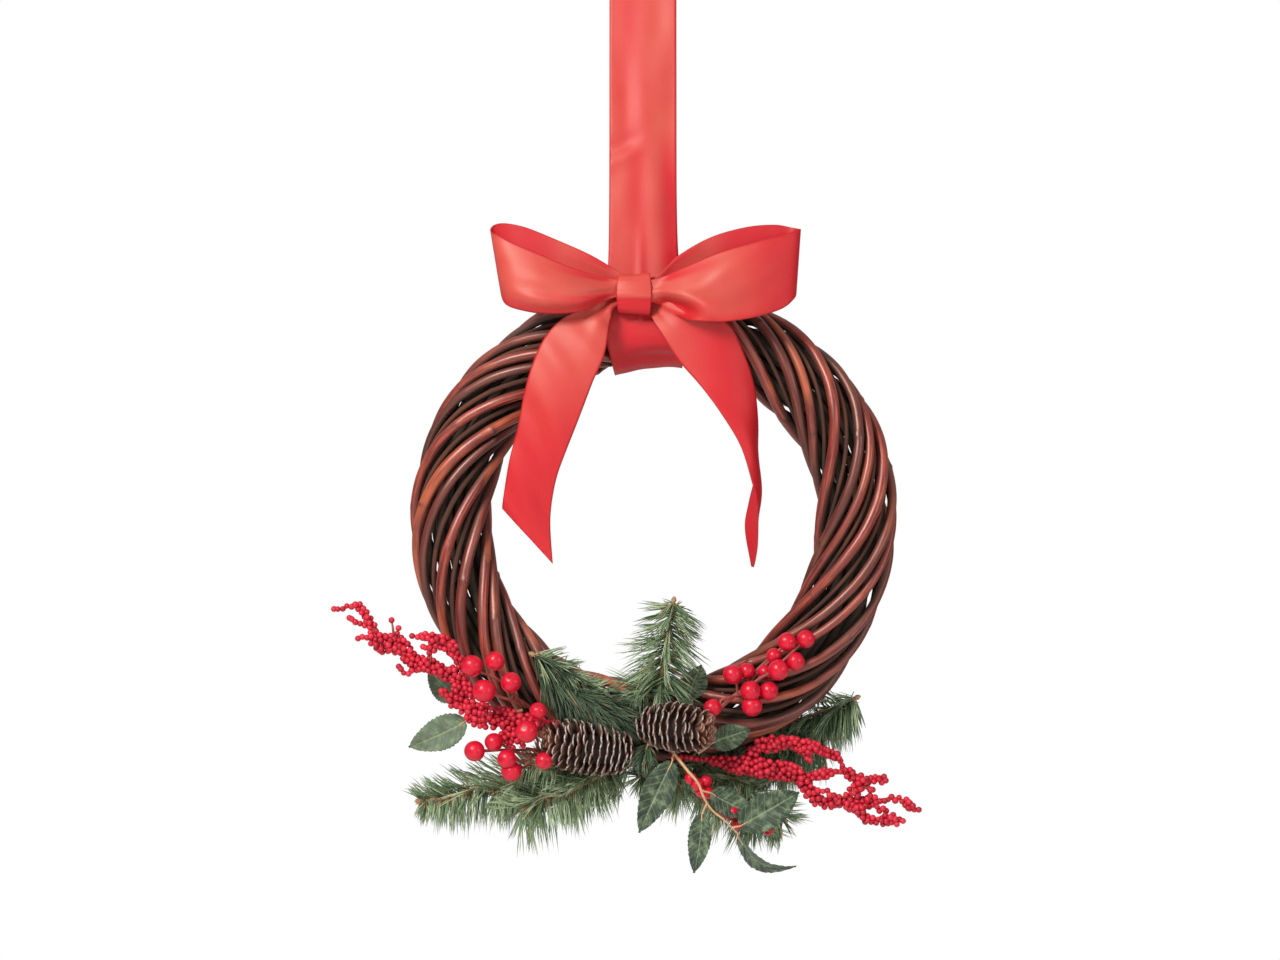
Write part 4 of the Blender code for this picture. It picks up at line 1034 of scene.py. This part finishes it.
def big_berry(shape, start, centre, radius, draw):
    """A lacquered berry with a small eye, on a curved stalk."""
    start, centre = vec(start), vec(centre)
    ahead = unit(centre - start)
    ball, faces = BIG_BALL
    height = ball[:, 2]
    girth = np.where(height > 0.93, 1 - 0.9 * (height - 0.93), 1.0)
    girth = girth * np.where(height < -0.9, 0.96, 1.0)
    uneven = 1 + 0.018 * ripple(draw.randrange(9999), *(ball * 2).T)
    eye = smooth_step(0.975, 0.992, height) * 0.7 + smooth_step(-0.95, -0.99, height) * 0.5
    shape.add(centre + turned(ball * (girth * uneven)[:, None], ahead) * radius, faces, eye=eye)
    bend = vec([draw.uniform(-1, 1) for _ in range(3)]) * 0.12 * np.linalg.norm(centre - start)
    line = smooth_path([start, (start + centre) / 2 + bend, centre - ahead * radius * 0.9], 9)
    add_tube(shape, line, np.linspace(0.0007, 0.0010, 9), 8, paint=1)


def berry_bunch(name, node, root, hub, berries, materials, seed):
    """Lacquered berries on stalks that leave one stem."""
    draw = random.Random(seed)
    shape = Shape()
    stem = smooth_path([root, (root + hub) / 2 + vec((0, 0, 0.002)), hub], 14)
    add_tube(shape, stem, np.linspace(0.0014, 0.0010, 14), 10, paint=1)
    for index, (x, y, z, radius) in enumerate(berries):
        start = root + (hub - root) * (0.5 + 0.45 * ((index * 0.618) % 1))
        big_berry(shape, start, (x, y, z), radius, draw)
    return shape.piece(name, materials, [node])


def berry_spray(name, node, arms, materials, seed):
    """Small berries packed round the twigs of a spray. arms holds points along each twig, with the
    reach of its berries, in tenths of a millimetre."""
    draw = random.Random(seed)
    shape = Shape()
    ball, faces = SMALL_BALL
    placed = np.zeros((0, 3))
    for points in arms:
        path = smooth_path(tenths(points), 12 * len(points))
        line, reach = path[:, :3], path[:, 3]
        along = lengths_along(line)
        ahead, up, aside = frames_along(line)
        add_tube(shape, line, np.linspace(0.0009, 0.0005, len(line)), 8, paint=1)
        tries = int(along[-1] / BERRY_TRY)
        for index in range(tries):
            row = int(np.searchsorted(along, along[-1] * (index + 0.5) / tries)) - 1
            off = max(reach[row] - SMALL_BERRY, 0) * math.sqrt(draw.uniform(0.05, 1.0))
            turn = draw.uniform(0, 2 * math.pi)
            outwards = up[row] * math.cos(turn) + aside[row] * math.sin(turn)
            centre = line[row] + outwards * off
            if reach[row] < SMALL_BERRY / 2:
                continue
            if len(placed) and np.min(np.linalg.norm(placed - centre, axis=1)) < BERRY_SPACING:
                continue
            placed = np.vstack([placed, centre])
            lean = unit(outwards + ahead[row] * 0.5)
            shape.add(centre + turned(ball, lean) * SMALL_BERRY * draw.uniform(0.88, 1.14), faces,
                      tone=draw.random(), eye=smooth_step(0.93, 0.97, ball[:, 2]))
            back = line[max(row - 2, 0)]
            add_tube(shape, [back, (back + centre) / 2 + outwards * 0.0003, centre], 0.0004, 4, paint=1)
        tip = line[-1] + ahead[-1] * SMALL_BERRY * 0.6
        shape.add(tip + turned(ball, ahead[-1]) * SMALL_BERRY, faces, tone=draw.random(),
                  eye=smooth_step(0.93, 0.97, ball[:, 2]))
        placed = np.vstack([placed, tip])
    return shape.piece(name, materials, [node])


# Arms of the berry sprays
LEFT_ARMS = [
    [(-564, -380, -1210, 6), (-642, -376, -1198, 25), (-739, -372, -1199, 62),
     (-842, -367, -1205, 74), (-939, -363, -1193, 68), (-1018, -359, -1181, 52),
     (-1091, -355, -1157, 52), (-1139, -351, -1085, 58), (-1176, -347, -1019, 58),
     (-1200, -343, -952, 52), (-1261, -338, -916, 49), (-1334, -334, -868, 63),
     (-1407, -330, -850, 62), (-1468, -326, -838, 60), (-1498, -322, -778, 60),
     (-1535, -318, -736, 72), (-1602, -313, -730, 74), (-1669, -309, -718, 74),
     (-1699, -305, -657, 43), (-1724, -301, -591, 40), (-1761, -297, -536, 37),
     (-1803, -292, -500, 40), (-1846, -288, -506, 37), (-1895, -284, -519, 15),
     (-1932, -280, -519, 15)],
    [(-1138, -380, -993, 25), (-1156, -377, -914, 25), (-1180, -374, -830, 40),
     (-1229, -371, -751, 50), (-1289, -369, -709, 60), (-1350, -366, -691, 48),
     (-1417, -363, -679, 34), (-1453, -360, -679, 25)],
    [(-1289, -370, -727, 43), (-1344, -365, -752, 37), (-1387, -360, -746, 25)],
    [(-1344, -360, -734, 34), (-1351, -355, -794, 31), (-1357, -350, -855, 31)],
    [(-1162, -370, -1048, 37), (-1235, -375, -1047, 46), (-1277, -380, -1017, 40)],
    [(-1138, -370, -1102, 37), (-1186, -375, -1102, 43), (-1216, -380, -1101, 31)],
    [(-1419, -330, -868, 31), (-1473, -333, -892, 34), (-1515, -337, -904, 25),
     (-1539, -340, -874, 22)],
    [(-1719, -290, -628, 22), (-1773, -293, -609, 25), (-1815, -297, -597, 22),
     (-1839, -300, -579, 22)],
    [(-1712, -300, -706, 28), (-1754, -305, -688, 22), (-1784, -310, -694, 22)],
    [(-1578, -310, -681, 9), (-1584, -310, -633, 0), (-1590, -310, -597, 0)],
    [(-1566, -310, -688, 25), (-1553, -310, -645, 18)],
    [(-860, -380, -1222, 55), (-836, -370, -1277, 55), (-800, -360, -1333, 37)],
    [(-1223, -370, -872, 40), (-1162, -370, -945, 50), (-1126, -370, -1018, 50),
     (-1102, -370, -1066, 40)],
    [(-1120, -370, -1102, 50), (-1066, -370, -1138, 62), (-1017, -370, -1163, 62),
     (-957, -370, -1175, 55)],
    [(-903, -360, -1236, 50), (-885, -360, -1296, 50), (-860, -360, -1345, 40)],
    [(-1162, -370, -1114, 40), (-1102, -370, -1175, 45), (-1029, -370, -1223, 40)],
    [(-860, -380, -1162, 49), (-945, -375, -1126, 40), (-1017, -370, -1108, 31),
     (-1066, -365, -1084, 31), (-1114, -360, -1079, 31)],
]
RIGHT_ARMS = [
    [(78, -200, -1424, 6), (219, -203, -1429, 18), (316, -206, -1441, 34), (401, -209, -1453, 49),
     (499, -212, -1471, 65), (596, -215, -1483, 77), (693, -218, -1501, 71), (791, -221, -1507, 71),
     (876, -224, -1537, 62), (924, -227, -1598, 58), (985, -230, -1677, 52),
     (1058, -233, -1695, 55), (1143, -236, -1695, 55), (1228, -239, -1707, 68),
     (1295, -242, -1700, 55), (1349, -245, -1706, 37), (1404, -248, -1681, 34),
     (1458, -251, -1675, 34), (1513, -254, -1681, 34), (1555, -257, -1717, 43),
     (1597, -260, -1735, 31)],
    [(535, -210, -1453, 43), (596, -211, -1398, 49), (657, -212, -1356, 55), (736, -213, -1337, 65),
     (809, -214, -1331, 52), (882, -215, -1349, 58), (937, -215, -1362, 68), (986, -216, -1368, 58),
     (1040, -217, -1392, 43), (1089, -218, -1410, 43), (1132, -219, -1434, 34),
     (1144, -220, -1477, 25)],
    [(924, -240, -1560, 43), (978, -240, -1536, 40), (1039, -240, -1524, 46),
     (1100, -240, -1512, 37), (1149, -240, -1500, 37), (1197, -240, -1530, 49),
     (1246, -240, -1560, 55), (1295, -240, -1567, 40), (1343, -240, -1554, 34),
     (1380, -240, -1554, 43), (1398, -240, -1560, 34)],
    [(1233, -250, -1560, 49), (1221, -260, -1620, 55), (1196, -270, -1667, 55)],
    [(971, -260, -1638, 37), (1026, -267, -1619, 28), (1074, -273, -1643, 31),
     (1110, -280, -1679, 31)],
    [(1190, -260, -1662, 37), (1135, -270, -1661, 34)],
    [(1225, -280, -1727, 49), (1274, -283, -1769, 49), (1316, -286, -1805, 43),
     (1358, -289, -1805, 37), (1395, -291, -1799, 49), (1437, -294, -1793, 46),
     (1467, -297, -1804, 43), (1497, -300, -1804, 25)],
    [(1347, -270, -1716, 31), (1389, -280, -1745, 37), (1419, -290, -1775, 37)],
    [(1264, -250, -1596, 37), (1306, -255, -1608, 31), (1318, -260, -1613, 25)],
    [(1287, -270, -1679, 37), (1323, -270, -1661, 31), (1341, -270, -1685, 31)],
    [(912, -220, -1392, 43), (942, -230, -1433, 31)],
]


# Lacquered bunches: name, node, seed, root and hub, and each berry's place and radius, in tenths
# of a millimetre
BUNCHES = (
    ("berries_upper_left", "berries_left_upper", 501, (-696, -207, -1185), (-860, -330, -1050),
     ((-1097, -480, -855, 66), (-959, -460, -825, 59), (-1023, -520, -1003, 70),
      (-863, -460, -955, 63))),
    ("berries_lower_left", "berries_left_lower", 502, (-515, -61, -1475), (-775, -300, -1365),
     ((-699, -520, -1123, 52), (-766, -545, -1246, 68), (-968, -400, -1318, 56),
      (-1085, -400, -1372, 63), (-888, -440, -1417, 58), (-862, -400, -1493, 63),
      (-663, -500, -1424, 52))),
    ("berries_on_right", "berries_right", 503, (396, -287, -1123), (600, -310, -985),
     ((805, -307, -718, 58), (921, -287, -701, 56), (856, -327, -835, 57), (751, -367, -885, 65),
      (727, -287, -804, 49), (477, -327, -914, 60), (563, -287, -895, 50), (582, -367, -1012, 62),
      (695, -327, -1014, 58), (592, -347, -1104, 63), (352, -367, -1114, 54),
      (673, -277, -901, 46))),
    ("berries_among_leaves", "berries_centre", 504, (97, -180, -1395), (260, -260, -1600),
     ((221, -340, -1542, 37), (260, -360, -1578, 37), (282, -330, -1622, 36),
      (314, -320, -1561, 37), (331, -340, -1633, 35), (477, -340, -1748, 37),
      (508, -300, -1824, 34), (690, -300, -1858, 35))),
)


def berries():
    stalk = plain_material("berry_stalk")
    lacquer = [lacquer_material(), stalk]
    matte = [small_berry_material(), stalk]
    for name, node, seed, root, hub, places in BUNCHES:
        berry_bunch(name, node, tenths(root), tenths(hub), tenths(places), lacquer, seed)
    berry_spray("small_berries_left", "berry_spray_left", LEFT_ARMS, matte, 511)
    berry_spray("small_berries_right", "berry_spray_right", RIGHT_ARMS, matte, 512)


# Leaves

def add_leaf(shape, joint, base, tip, width, arch, facing, pale, seed):
    """A saw-edged cloth blade on a short stalk, in the place and pose of the part's own."""
    draw = random.Random(seed)
    along = tip - base
    length = np.linalg.norm(along)
    sideways = unit(np.cross(along, facing))
    lift = unit(np.cross(along, sideways))
    rows, columns = 73, 21
    v = np.linspace(0, 1, rows)
    u = np.linspace(-1, 1, columns)
    half = 0.5 * width * np.sin(math.pi * np.minimum(v ** 0.8 * 0.95 + 0.05, 0.99)) ** 0.75
    half = half * smooth_step(1.02, 0.90, v) ** 0.5
    saw = (v * SAW_TEETH) % 1
    half = np.maximum(half * (1 + 0.10 * (1 - saw) * smooth_step(0.0, 0.1, v)), 0.0007)
    middle = (base[None, :] + along[None, :] * v[:, None]
              + lift[None, :] * (arch * length * np.sin(math.pi * v))[:, None])
    across = u[None, :]
    order = v[:, None] - VEIN_SLANT * np.abs(across)
    quilt = 0.5 + 0.5 * np.cos(2 * math.pi * SIDE_VEINS * order)
    bend = -0.16 * np.abs(across) * half[:, None] - 0.00035 * quilt * np.abs(across) ** 0.5
    bend = bend + 0.05 * half[:, None] * ripple(seed, across * 2.5, v[:, None] * 9)
    rib = 0.0004 * np.exp(-(across / 0.08) ** 2)
    corners = (middle[:, None, :] + sideways[None, None, :] * (half[:, None] * across)[:, :, None]
               + lift[None, None, :] * (bend + rib)[:, :, None])
    top = (corners + lift * LEAF_THICKNESS / 2).reshape(-1, 3)
    bottom = (corners - lift * LEAF_THICKNESS / 2).reshape(-1, 3)
    count = rows * columns
    blade = np.stack([np.broadcast_to(across, (rows, columns)),
                      np.broadcast_to(v[:, None], (rows, columns)),
                      np.zeros((rows, columns))], axis=-1).reshape(-1, 3)
    under = np.concatenate([np.full(count, 0.75), np.zeros(count)])
    shape.add(np.vstack([top, bottom]), plate_faces(rows, columns), blade=np.vstack([blade, blade]),
              under=under, pale=pale)
    bend = vec([draw.uniform(-1, 1) * 0.0004 for _ in range(3)])
    line = smooth_path([joint, (joint + base) / 2 + bend, base,
                        base + along * 0.12 + lift * arch * length * 0.36], 12)
    add_tube(shape, line, np.linspace(0.0007, 0.0004, 12), 8, paint=1)


def leafy_stem(name, node, stem, blades, slide, materials, seed, pale):
    """Blades on one stem, as in LEAFY_STEMS."""
    slide = tenths(slide)
    shape = Shape()
    line = smooth_path(tenths(stem), 6 * len(stem)) + slide
    thick = np.linspace(0.0010, 0.0006, len(line))
    add_tube(shape, line, thick * (1 + 0.08 * ripple(seed, lengths_along(line) * 300)), 10, paint=1)
    for index, (joint, base, tip, width, arch, facing) in enumerate(blades):
        add_leaf(shape, tenths(joint) + slide, tenths(base) + slide, tenths(tip) + slide,
                 tenths(width), arch, vec(facing), pale, seed + index)
    return shape.piece(name, materials, [node])


# Leafy stems: name, node, seed, paleness, how far the piece is moved to where its node is, the
# stem's points, and the joint, base, tip, width, arch and facing of each blade. Places and widths
# are in tenths of a millimetre.
LEAFY_STEMS = (
    ("leaf_spray", "leaf_sprig", 601, 0.0, (0, 0, 0),
     ((85, -300, -1344), (138, -380, -1410), (204, -420, -1492), (264, -430, -1564),
      (301, -420, -1655), (349, -410, -1728), (422, -400, -1789), (507, -380, -1875)),
     (((120, -360, -1381), (107, -380, -1441), (-92, -420, -1864), 185, 0.06, (0.15, -1, 0.1)),
      ((319, -420, -1685), (288, -440, -1750), (239, -460, -2102), 138, 0.1, (-0.3, -1, 0)),
      ((282, -430, -1607), (343, -400, -1626), (604, -360, -1755), 165, 0.1, (0.1, -1, 0.4)),
      ((471, -390, -1839), (519, -420, -1823), (872, -480, -1614), 212, 0.1, (0.1, -1, 0.2)),
      ((507, -380, -1875), (507, -380, -1895), (859, -360, -2072), 165, -0.22, (-0.43, -0.5, -0.75)))),
    ("leaf_low_left", "leaf_left_low", 611, 1.0, (1, -28, 30),
     ((-800, -280, -1160), (-1020, -300, -1225)),
     (((-1020, -300, -1225), (-1144, -290, -1230), (-1488, -300, -1384), 200, 0.1, (-0.1, -1, 0.3)),)),
    # painted light: this leaf lies in the ring's shade, and its paleness lightens it
    ("leaf_high_left", "leaf_left_high", 612, 0.9, (24, -2, -26),
     ((-1050, -140, -1090), (-1140, -140, -1070)),
     (((-1140, -140, -1070), (-1224, -130, -1050), (-1408, -100, -880), 170, 0.1, (0, -1, 0)),)),
    ("leaf_on_right", "leaf_right", 613, 0.0, (-33, -58, 34),
     ((300, -200, -1430), (360, -220, -1390)),
     (((360, -220, -1390), (380, -240, -1370), (615, -300, -1280), 150, 0.1, (0.1, -1, -0.1)),)),
    ("leaf_at_top", "leaf_top", 614, 0.0, (-36, 80, -3),
     ((260, -260, -1100), (270, -280, -1060)),
     (((270, -280, -1060), (248, -280, -1060), (322, -340, -856), 165, 0.08, (0.3, -1, 0)),)),
)


def leaves():
    materials = [leaf_material(), plain_material("leaf_stem")]
    for name, node, seed, pale, slide, stem, blades in LEAFY_STEMS:
        leafy_stem(name, node, stem, blades, slide, materials, seed, pale)


# Fir

def solid_tree(names):
    """The named CAD nodes as one tree of faces, from the ring's centre."""
    corners = []
    faces = []
    for name in names:
        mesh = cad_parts[name].data
        first = len(corners)
        corners += [tuple(vec(vertex.co) - RING_CENTRE) for vertex in mesh.vertices]
        faces += [tuple(first + index for index in face.vertices) for face in mesh.polygons]
    return BVHTree.FromPolygons(corners, faces)


def add_needle(shape, root, direction, length, girth, droop, draw, tone, paint=0):
    """A slim three-sided needle, bent down a little."""
    side = unit(np.cross(direction, [draw.uniform(-1, 1) for _ in range(3)]))
    above = np.cross(direction, side)
    stations = ((0.0, 0.75), (0.35, 1.0), (0.75, 0.8))
    corners = []
    tips = []
    for share, wide in stations:
        spot = root + direction * length * share - vec((0, 0, 1)) * droop * length * share ** 2
        for k in range(3):
            turn = 2 * math.pi * k / 3
            corners.append(spot + (side * math.cos(turn) + above * math.sin(turn) * 0.6) * girth * wide)
            tips.append(share * 0.4)
    corners.append(root + direction * length - vec((0, 0, 1)) * droop * length)
    tips.append(1.0)
    faces = [(2, 1, 0)]
    for row in range(2):
        for k in range(3):
            after = (k + 1) % 3
            faces.append((row * 3 + k, row * 3 + after, row * 3 + 3 + after, row * 3 + 3 + k))
    faces += [(6 + k, 6 + (k + 1) % 3, 9) for k in range(3)]
    shape.add(corners, faces, paint, tone=tone, tip=np.array(tips))


def needles_on(shape, points, habit, lengths, tree, draw, main):
    """One twig with its bark, brown scales and needles in tufts, and an end bud on the main one.
    habit holds how far needles lean ahead above the twig and below it, how much they hang, their
    reach, their tone, how many tufts a metre carries, how high round the twig they grow (1 is all
    round), the share that is missing from its front and the number of brown scales at each of
    its joints. lengths are their reach at the root and at the end, as shares of that. Needles
    stop at what they meet."""
    lean_above, lean_below, hang, reach, paleness, tufts_per_metre, crown, bared, scales = habit
    bare = 0.03 if main else 0.06
    line = smooth_path(points, TWIG_ROWS)
    last = TWIG_ROWS - 1
    along = lengths_along(line)
    ahead, up, aside = frames_along(line)
    thick = np.linspace(0.0016, 0.0010, TWIG_ROWS)
    thick = thick * (1 + 0.12 * ripple(draw.randrange(9999), along * 700))
    add_tube(shape, line, thick, 8, paint=1)
    if main:
        bud = np.array([line[-1] + ahead[-1] * step for step in (-0.0005, 0.0012, 0.0026, 0.0036)])
        add_tube(shape, bud, (0.0010, 0.0017, 0.0013, 0.0005), 8, paint=2)

    def outwards_at(row, turn):
        return up[row] * math.cos(turn) + aside[row] * math.sin(turn)

    for node in range(int(along[-1] / NODE_SPACING)):
        for _ in range(scales):
            row = int((node + 1 + draw.gauss(0, 0.14)) * NODE_SPACING / along[-1] * last)
            if row > LAST_STUB_ROW:
                continue
            outwards = outwards_at(row, draw.uniform(0, 2 * math.pi))
            stub = unit(outwards + ahead[row] * draw.uniform(-0.2, 1.6))
            add_needle(shape, line[row] + outwards * thick[row] * 0.6, stub,
                       draw.uniform(0.0045, 0.0095), STUB_GIRTH, 0.0, draw, 0.0, paint=1)
    count = int(along[-1] * tufts_per_metre)
    for tuft in range(count):
        share = (tuft + draw.random()) / count
        if share < bare:
            continue
        row = min(int(share * last), last)
        outwards = outwards_at(row, tuft * GOLDEN_TURN + draw.uniform(-0.3, 0.3))
        if outwards[2] > crown or (outwards[1] < -0.75 and draw.random() < bared):
            continue
        lean = lean_below + (lean_above - lean_below) * (outwards[2] + 1) / 2
        lean = lean * draw.uniform(0.7, 1.3)
        sink = hang * (1 - 0.8 * max(outwards[2], 0))
        heading = unit(outwards + ahead[row] * lean - vec((0, 0, sink))
                       + vec([draw.gauss(0, 0.14) for _ in range(3)]))
        shade = draw.gauss(paleness, 0.24)
        size = reach * (lengths[0] + (lengths[1] - lengths[0]) * share ** 3)
        size = size * draw.uniform(0.72, 1.08)
        for _ in range(NEEDLES_A_TUFT):
            place = share + draw.uniform(-1, 1) * TUFT_SPREAD / along[-1]
            row = int(min(max(place, 0), 1) * last)
            root = line[row] + outwards * thick[row] * 0.6
            direction = unit(heading + vec([draw.gauss(0, 0.070) for _ in range(3)]))
            length = size * draw.uniform(0.72, 1.0)
            hit = tree.ray_cast(Vector(root), Vector(direction), length)
            if hit[0] is not None:
                length = hit[3] - NEEDLE_ROOM
            if direction[1] > 0:
                length = min(length, (BACK_PLANE - root[1]) / direction[1])
            if length < SHORTEST_NEEDLE:
                continue
            tone = min(max(shade + draw.gauss(0, 0.16), 0), 1)
            withered = draw.random() < WITHERED_SHARE
            add_needle(shape, root, direction, length, NEEDLE_GIRTH, draw.uniform(0.0, 0.16), draw,
                       tone, paint=1 if withered else 0)


def fir_spray(name, node, twigs, habit, materials, tree, seed):
    """Twigs in one piece, as in FIR_SPRAYS."""
    draw = random.Random(seed)
    shape = Shape()
    for order, (lengths, points, *own) in enumerate(twigs):
        needles_on(shape, tenths(points), own[0] if own else habit, lengths, tree, draw, order == 0)
    return shape.piece(name, materials, [node])


# Sprays of fir: name, node, seed, habit, and each twig as the reach of its needles at its root and
# end, its points in tenths of a millimetre, and its own habit where it has one. The first twig
# is the part's own main twig. A habit holds what needles_on lists.
FIR_SPRAYS = (
    ("fir_standing", "fir_up", 701, (0.06, 0.06, 0.46, 0.0325, 0.68, 2200, 1, 0.4, 10), (
     ((1.04, 0.72), ((-10, -191, -1060), (22, -205, -1000), (43, -212, -920), (63, -225, -806),
       (82, -242, -690), (100, -258, -570), (117, -271, -478))),
     ((0.7, 0.6), ((0, -200, -1060), (-60, -240, -1030), (-100, -270, -990))),
    )),
    # painted shade: the spray along the ring takes low needle tones for the shade it lies in
    ("fir_along_ring", "fir_inner_left", 702, (-0.75, -0.95, 0.3, 0.029, 0.0, 3700, 0.55, 0, 6), (
     ((0.4, 0.95), ((-200, -205, -1090), (-360, -235, -1010), (-540, -255, -900),
       (-730, -265, -800))),
     ((0.9, 0.9), ((-180, -210, -1110), (-360, -260, -1080), (-560, -280, -1000)),
      (-0.95, -0.95, 0.45, 0.029, -0.04, 3600, 0.8, 0, 2)),
     ((0.9, 0.8), ((-140, -220, -1150), (-290, -280, -1150), (-440, -300, -1120)),
      (-0.95, -0.95, 0.45, 0.029, -0.04, 3600, 0.6, 0, 2)),
     ((1.0, 0.7), ((-300, -240, -1060), (-500, -270, -990), (-690, -285, -920)),
      (-0.8, -0.7, 1.0, 0.036, -0.1, 3200, 0.3, 0, 2)),
     ((0.6, 0.95), ((-200, -205, -1085), (-360, -235, -1005), (-540, -255, -895),
       (-725, -265, -797)),
      (-0.75, -0.9, 0.05, 0.029, 0.8, 760, 1, 0, 0)),
    )),
    ("fir_lower_left", "fir_left", 703, (0.6, 0.3, 0.65, 0.0285, 0.88, 1650, 1, 0.5, 22), (
     ((1.1, 0.52), ((-100, -80, -1475), (-450, -90, -1500), (-800, -100, -1545),
       (-1100, -100, -1625), (-1270, -100, -1680), (-1430, -100, -1700))),
     ((1.1, 0.95), ((-400, -85, -1495), (-550, -160, -1600), (-700, -220, -1695),
       (-812, -250, -1745))),
     ((1.0, 0.9), ((-300, -85, -1490), (-420, -180, -1580), (-560, -240, -1670))),
     ((0.9, 0.8), ((-220, -85, -1490), (-320, -160, -1540), (-424, -200, -1590))),
     ((1.0, 0.9), ((-700, -95, -1530), (-860, -140, -1600), (-990, -170, -1655))),
     ((0.7, 0.6), ((-450, -150, -1500), (-620, -220, -1485), (-780, -250, -1455))),
    )),
    ("fir_behind_right", "fir_right_back", 704, (0.1, 0.0, 1.4, 0.033, 0.6, 2900, 0.8, 0, 6), (
     ((1.0, 0.9), ((267, 234, -1284), (667, 254, -1290), (967, 194, -1200), (1245, 134, -1085))),
     ((1.0, 0.9), ((667, 254, -1290), (850, 220, -1335), (1050, 160, -1345))),
     ((1.0, 0.9), ((467, 244, -1300), (650, 200, -1400), (850, 120, -1440))),
     ((0.9, 0.8), ((400, 240, -1295), (560, 180, -1400), (700, 100, -1450))),
    )),
    ("fir_lower_right", "fir_right_low", 705, (0.4, 0.05, 1.15, 0.0275, 0.74, 2300, 1, 0.2, 6), (
     ((1.0, 0.85), ((0, 40, -1471), (300, 0, -1500), (560, -40, -1640), (790, -80, -1815))),
     ((1.0, 0.9), ((60, 36, -1475), (120, -40, -1560), (170, -80, -1625))),
     ((1.0, 0.9), ((260, 10, -1495), (340, -60, -1620), (430, -100, -1715))),
     ((1.0, 0.9), ((500, -30, -1600), (560, -80, -1730), (625, -110, -1835))),
     ((0.9, 0.8), ((340, -10, -1515), (460, -60, -1560), (600, -100, -1580))),
     ((0.7, 0.6), ((10, 30, -1475), (-40, -50, -1530), (-85, -100, -1560))),
     ((0.8, 0.7), ((0, -290, -1240), (-30, -320, -1330), (-70, -330, -1430)),
      (0.55, 0.55, 0.6, 0.023, 0.06, 3000, 1, 0, 2)),
    )),
)


def firs():
    materials = [needle_material(), plain_material("fir_twig"), plain_material("fir_bud")]
    stops = ("rod", "cone", "bow", "hanging", "leaf")
    tree = solid_tree([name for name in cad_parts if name.split("_")[0] in stops])
    for name, node, seed, habit, twigs in FIR_SPRAYS:
        fir_spray(name, node, twigs, habit, materials, tree, seed)


# Stage

# Lamps: place from the ring's centre, size and power
LAMPS = {
    "key": ((-0.72, -1.15, 0.80), 0.55, 24.2),
    "fill": ((1.4, -1.2, 0.3), 0.70, 6.0),
    "front": ((0.1, -2.0, -0.1), 1.0, 4.4),
}
# How bright the sky is below and above, and how low and high it is so
SKY_BELOW, SKY_ABOVE = 0.18, 0.54
SKY_LOW, SKY_HIGH = -0.3, 0.85
FLOOR_LEVEL = -0.76
FLOOR_RADIUS = 1.0
FLOOR_CORNERS = 120
SENSOR_WIDTH = 36.0
VIEW_WIDTH = 0.787
CAMERA_PLACE = (-0.0086, -2.2, 0.0264)


def daylight():
    """A sky that lights more from above, and that the camera sees plain white."""
    world = bpy.data.worlds.new("daylight")
    world.use_nodes = True
    nodes = world.node_tree.nodes
    link = world.node_tree.links.new
    background = nodes["Background"]
    background.inputs["Color"].default_value = (1, 1, 1, 1)
    seen = nodes.new("ShaderNodeLightPath")
    where = nodes.new("ShaderNodeTexCoord")
    height = nodes.new("ShaderNodeSeparateXYZ")
    sky = map_range(nodes, SKY_BELOW, SKY_ABOVE, SKY_LOW, SKY_HIGH)
    brightness = map_range(nodes, 0.0, 1.0)
    link(where.outputs["Generated"], height.inputs[0])
    link(height.outputs["Z"], sky.inputs["Value"])
    link(sky.outputs["Result"], brightness.inputs["To Min"])
    link(seen.outputs["Is Camera Ray"], brightness.inputs["Value"])
    link(brightness.outputs["Result"], background.inputs["Strength"])
    return world


def stage():
    """A pale floor, soft light from the upper left, and the photograph's front view."""
    scene = bpy.context.scene
    scene.view_settings.view_transform = "Standard"
    scene.world = daylight()
    floor_mesh = bpy.data.meshes.new("floor")
    corners = []
    for k in range(FLOOR_CORNERS):
        turn = 2 * math.pi * k / FLOOR_CORNERS
        corners.append((FLOOR_RADIUS * math.cos(turn), FLOOR_RADIUS * math.sin(turn), FLOOR_LEVEL))
    floor_mesh.from_pydata(corners, [], [tuple(range(FLOOR_CORNERS))])
    floor_mesh.materials.append(floor_material())
    floor = bpy.data.objects.new("floor", floor_mesh)
    scene.collection.objects.link(floor)
    for name, (spot, size, power) in LAMPS.items():
        light = bpy.data.lights.new(name, "AREA")
        light.shape = "DISK"
        light.size = size
        light.energy = power
        lamp = bpy.data.objects.new(name, light)
        lamp.location = Vector(spot) + Vector((0, 0, -RING_DROP))
        lamp.rotation_mode = "QUATERNION"
        aim = Vector(RING_CENTRE) - lamp.location
        lamp.rotation_quaternion = aim.to_track_quat("-Z", "Y")
        scene.collection.objects.link(lamp)
    camera_data = bpy.data.cameras.new("camera")
    camera_data.sensor_width = SENSOR_WIDTH
    camera_data.lens = SENSOR_WIDTH * -CAMERA_PLACE[1] / VIEW_WIDTH
    camera = bpy.data.objects.new("camera", camera_data)
    camera.location = Vector(RING_CENTRE) + Vector(CAMERA_PLACE)
    camera.rotation_euler = (math.radians(90), 0, 0)
    scene.collection.objects.link(camera)
    scene.camera = camera


willow_ring()
ribbons()
cones()
berries()
leaves()
firs()
stage()
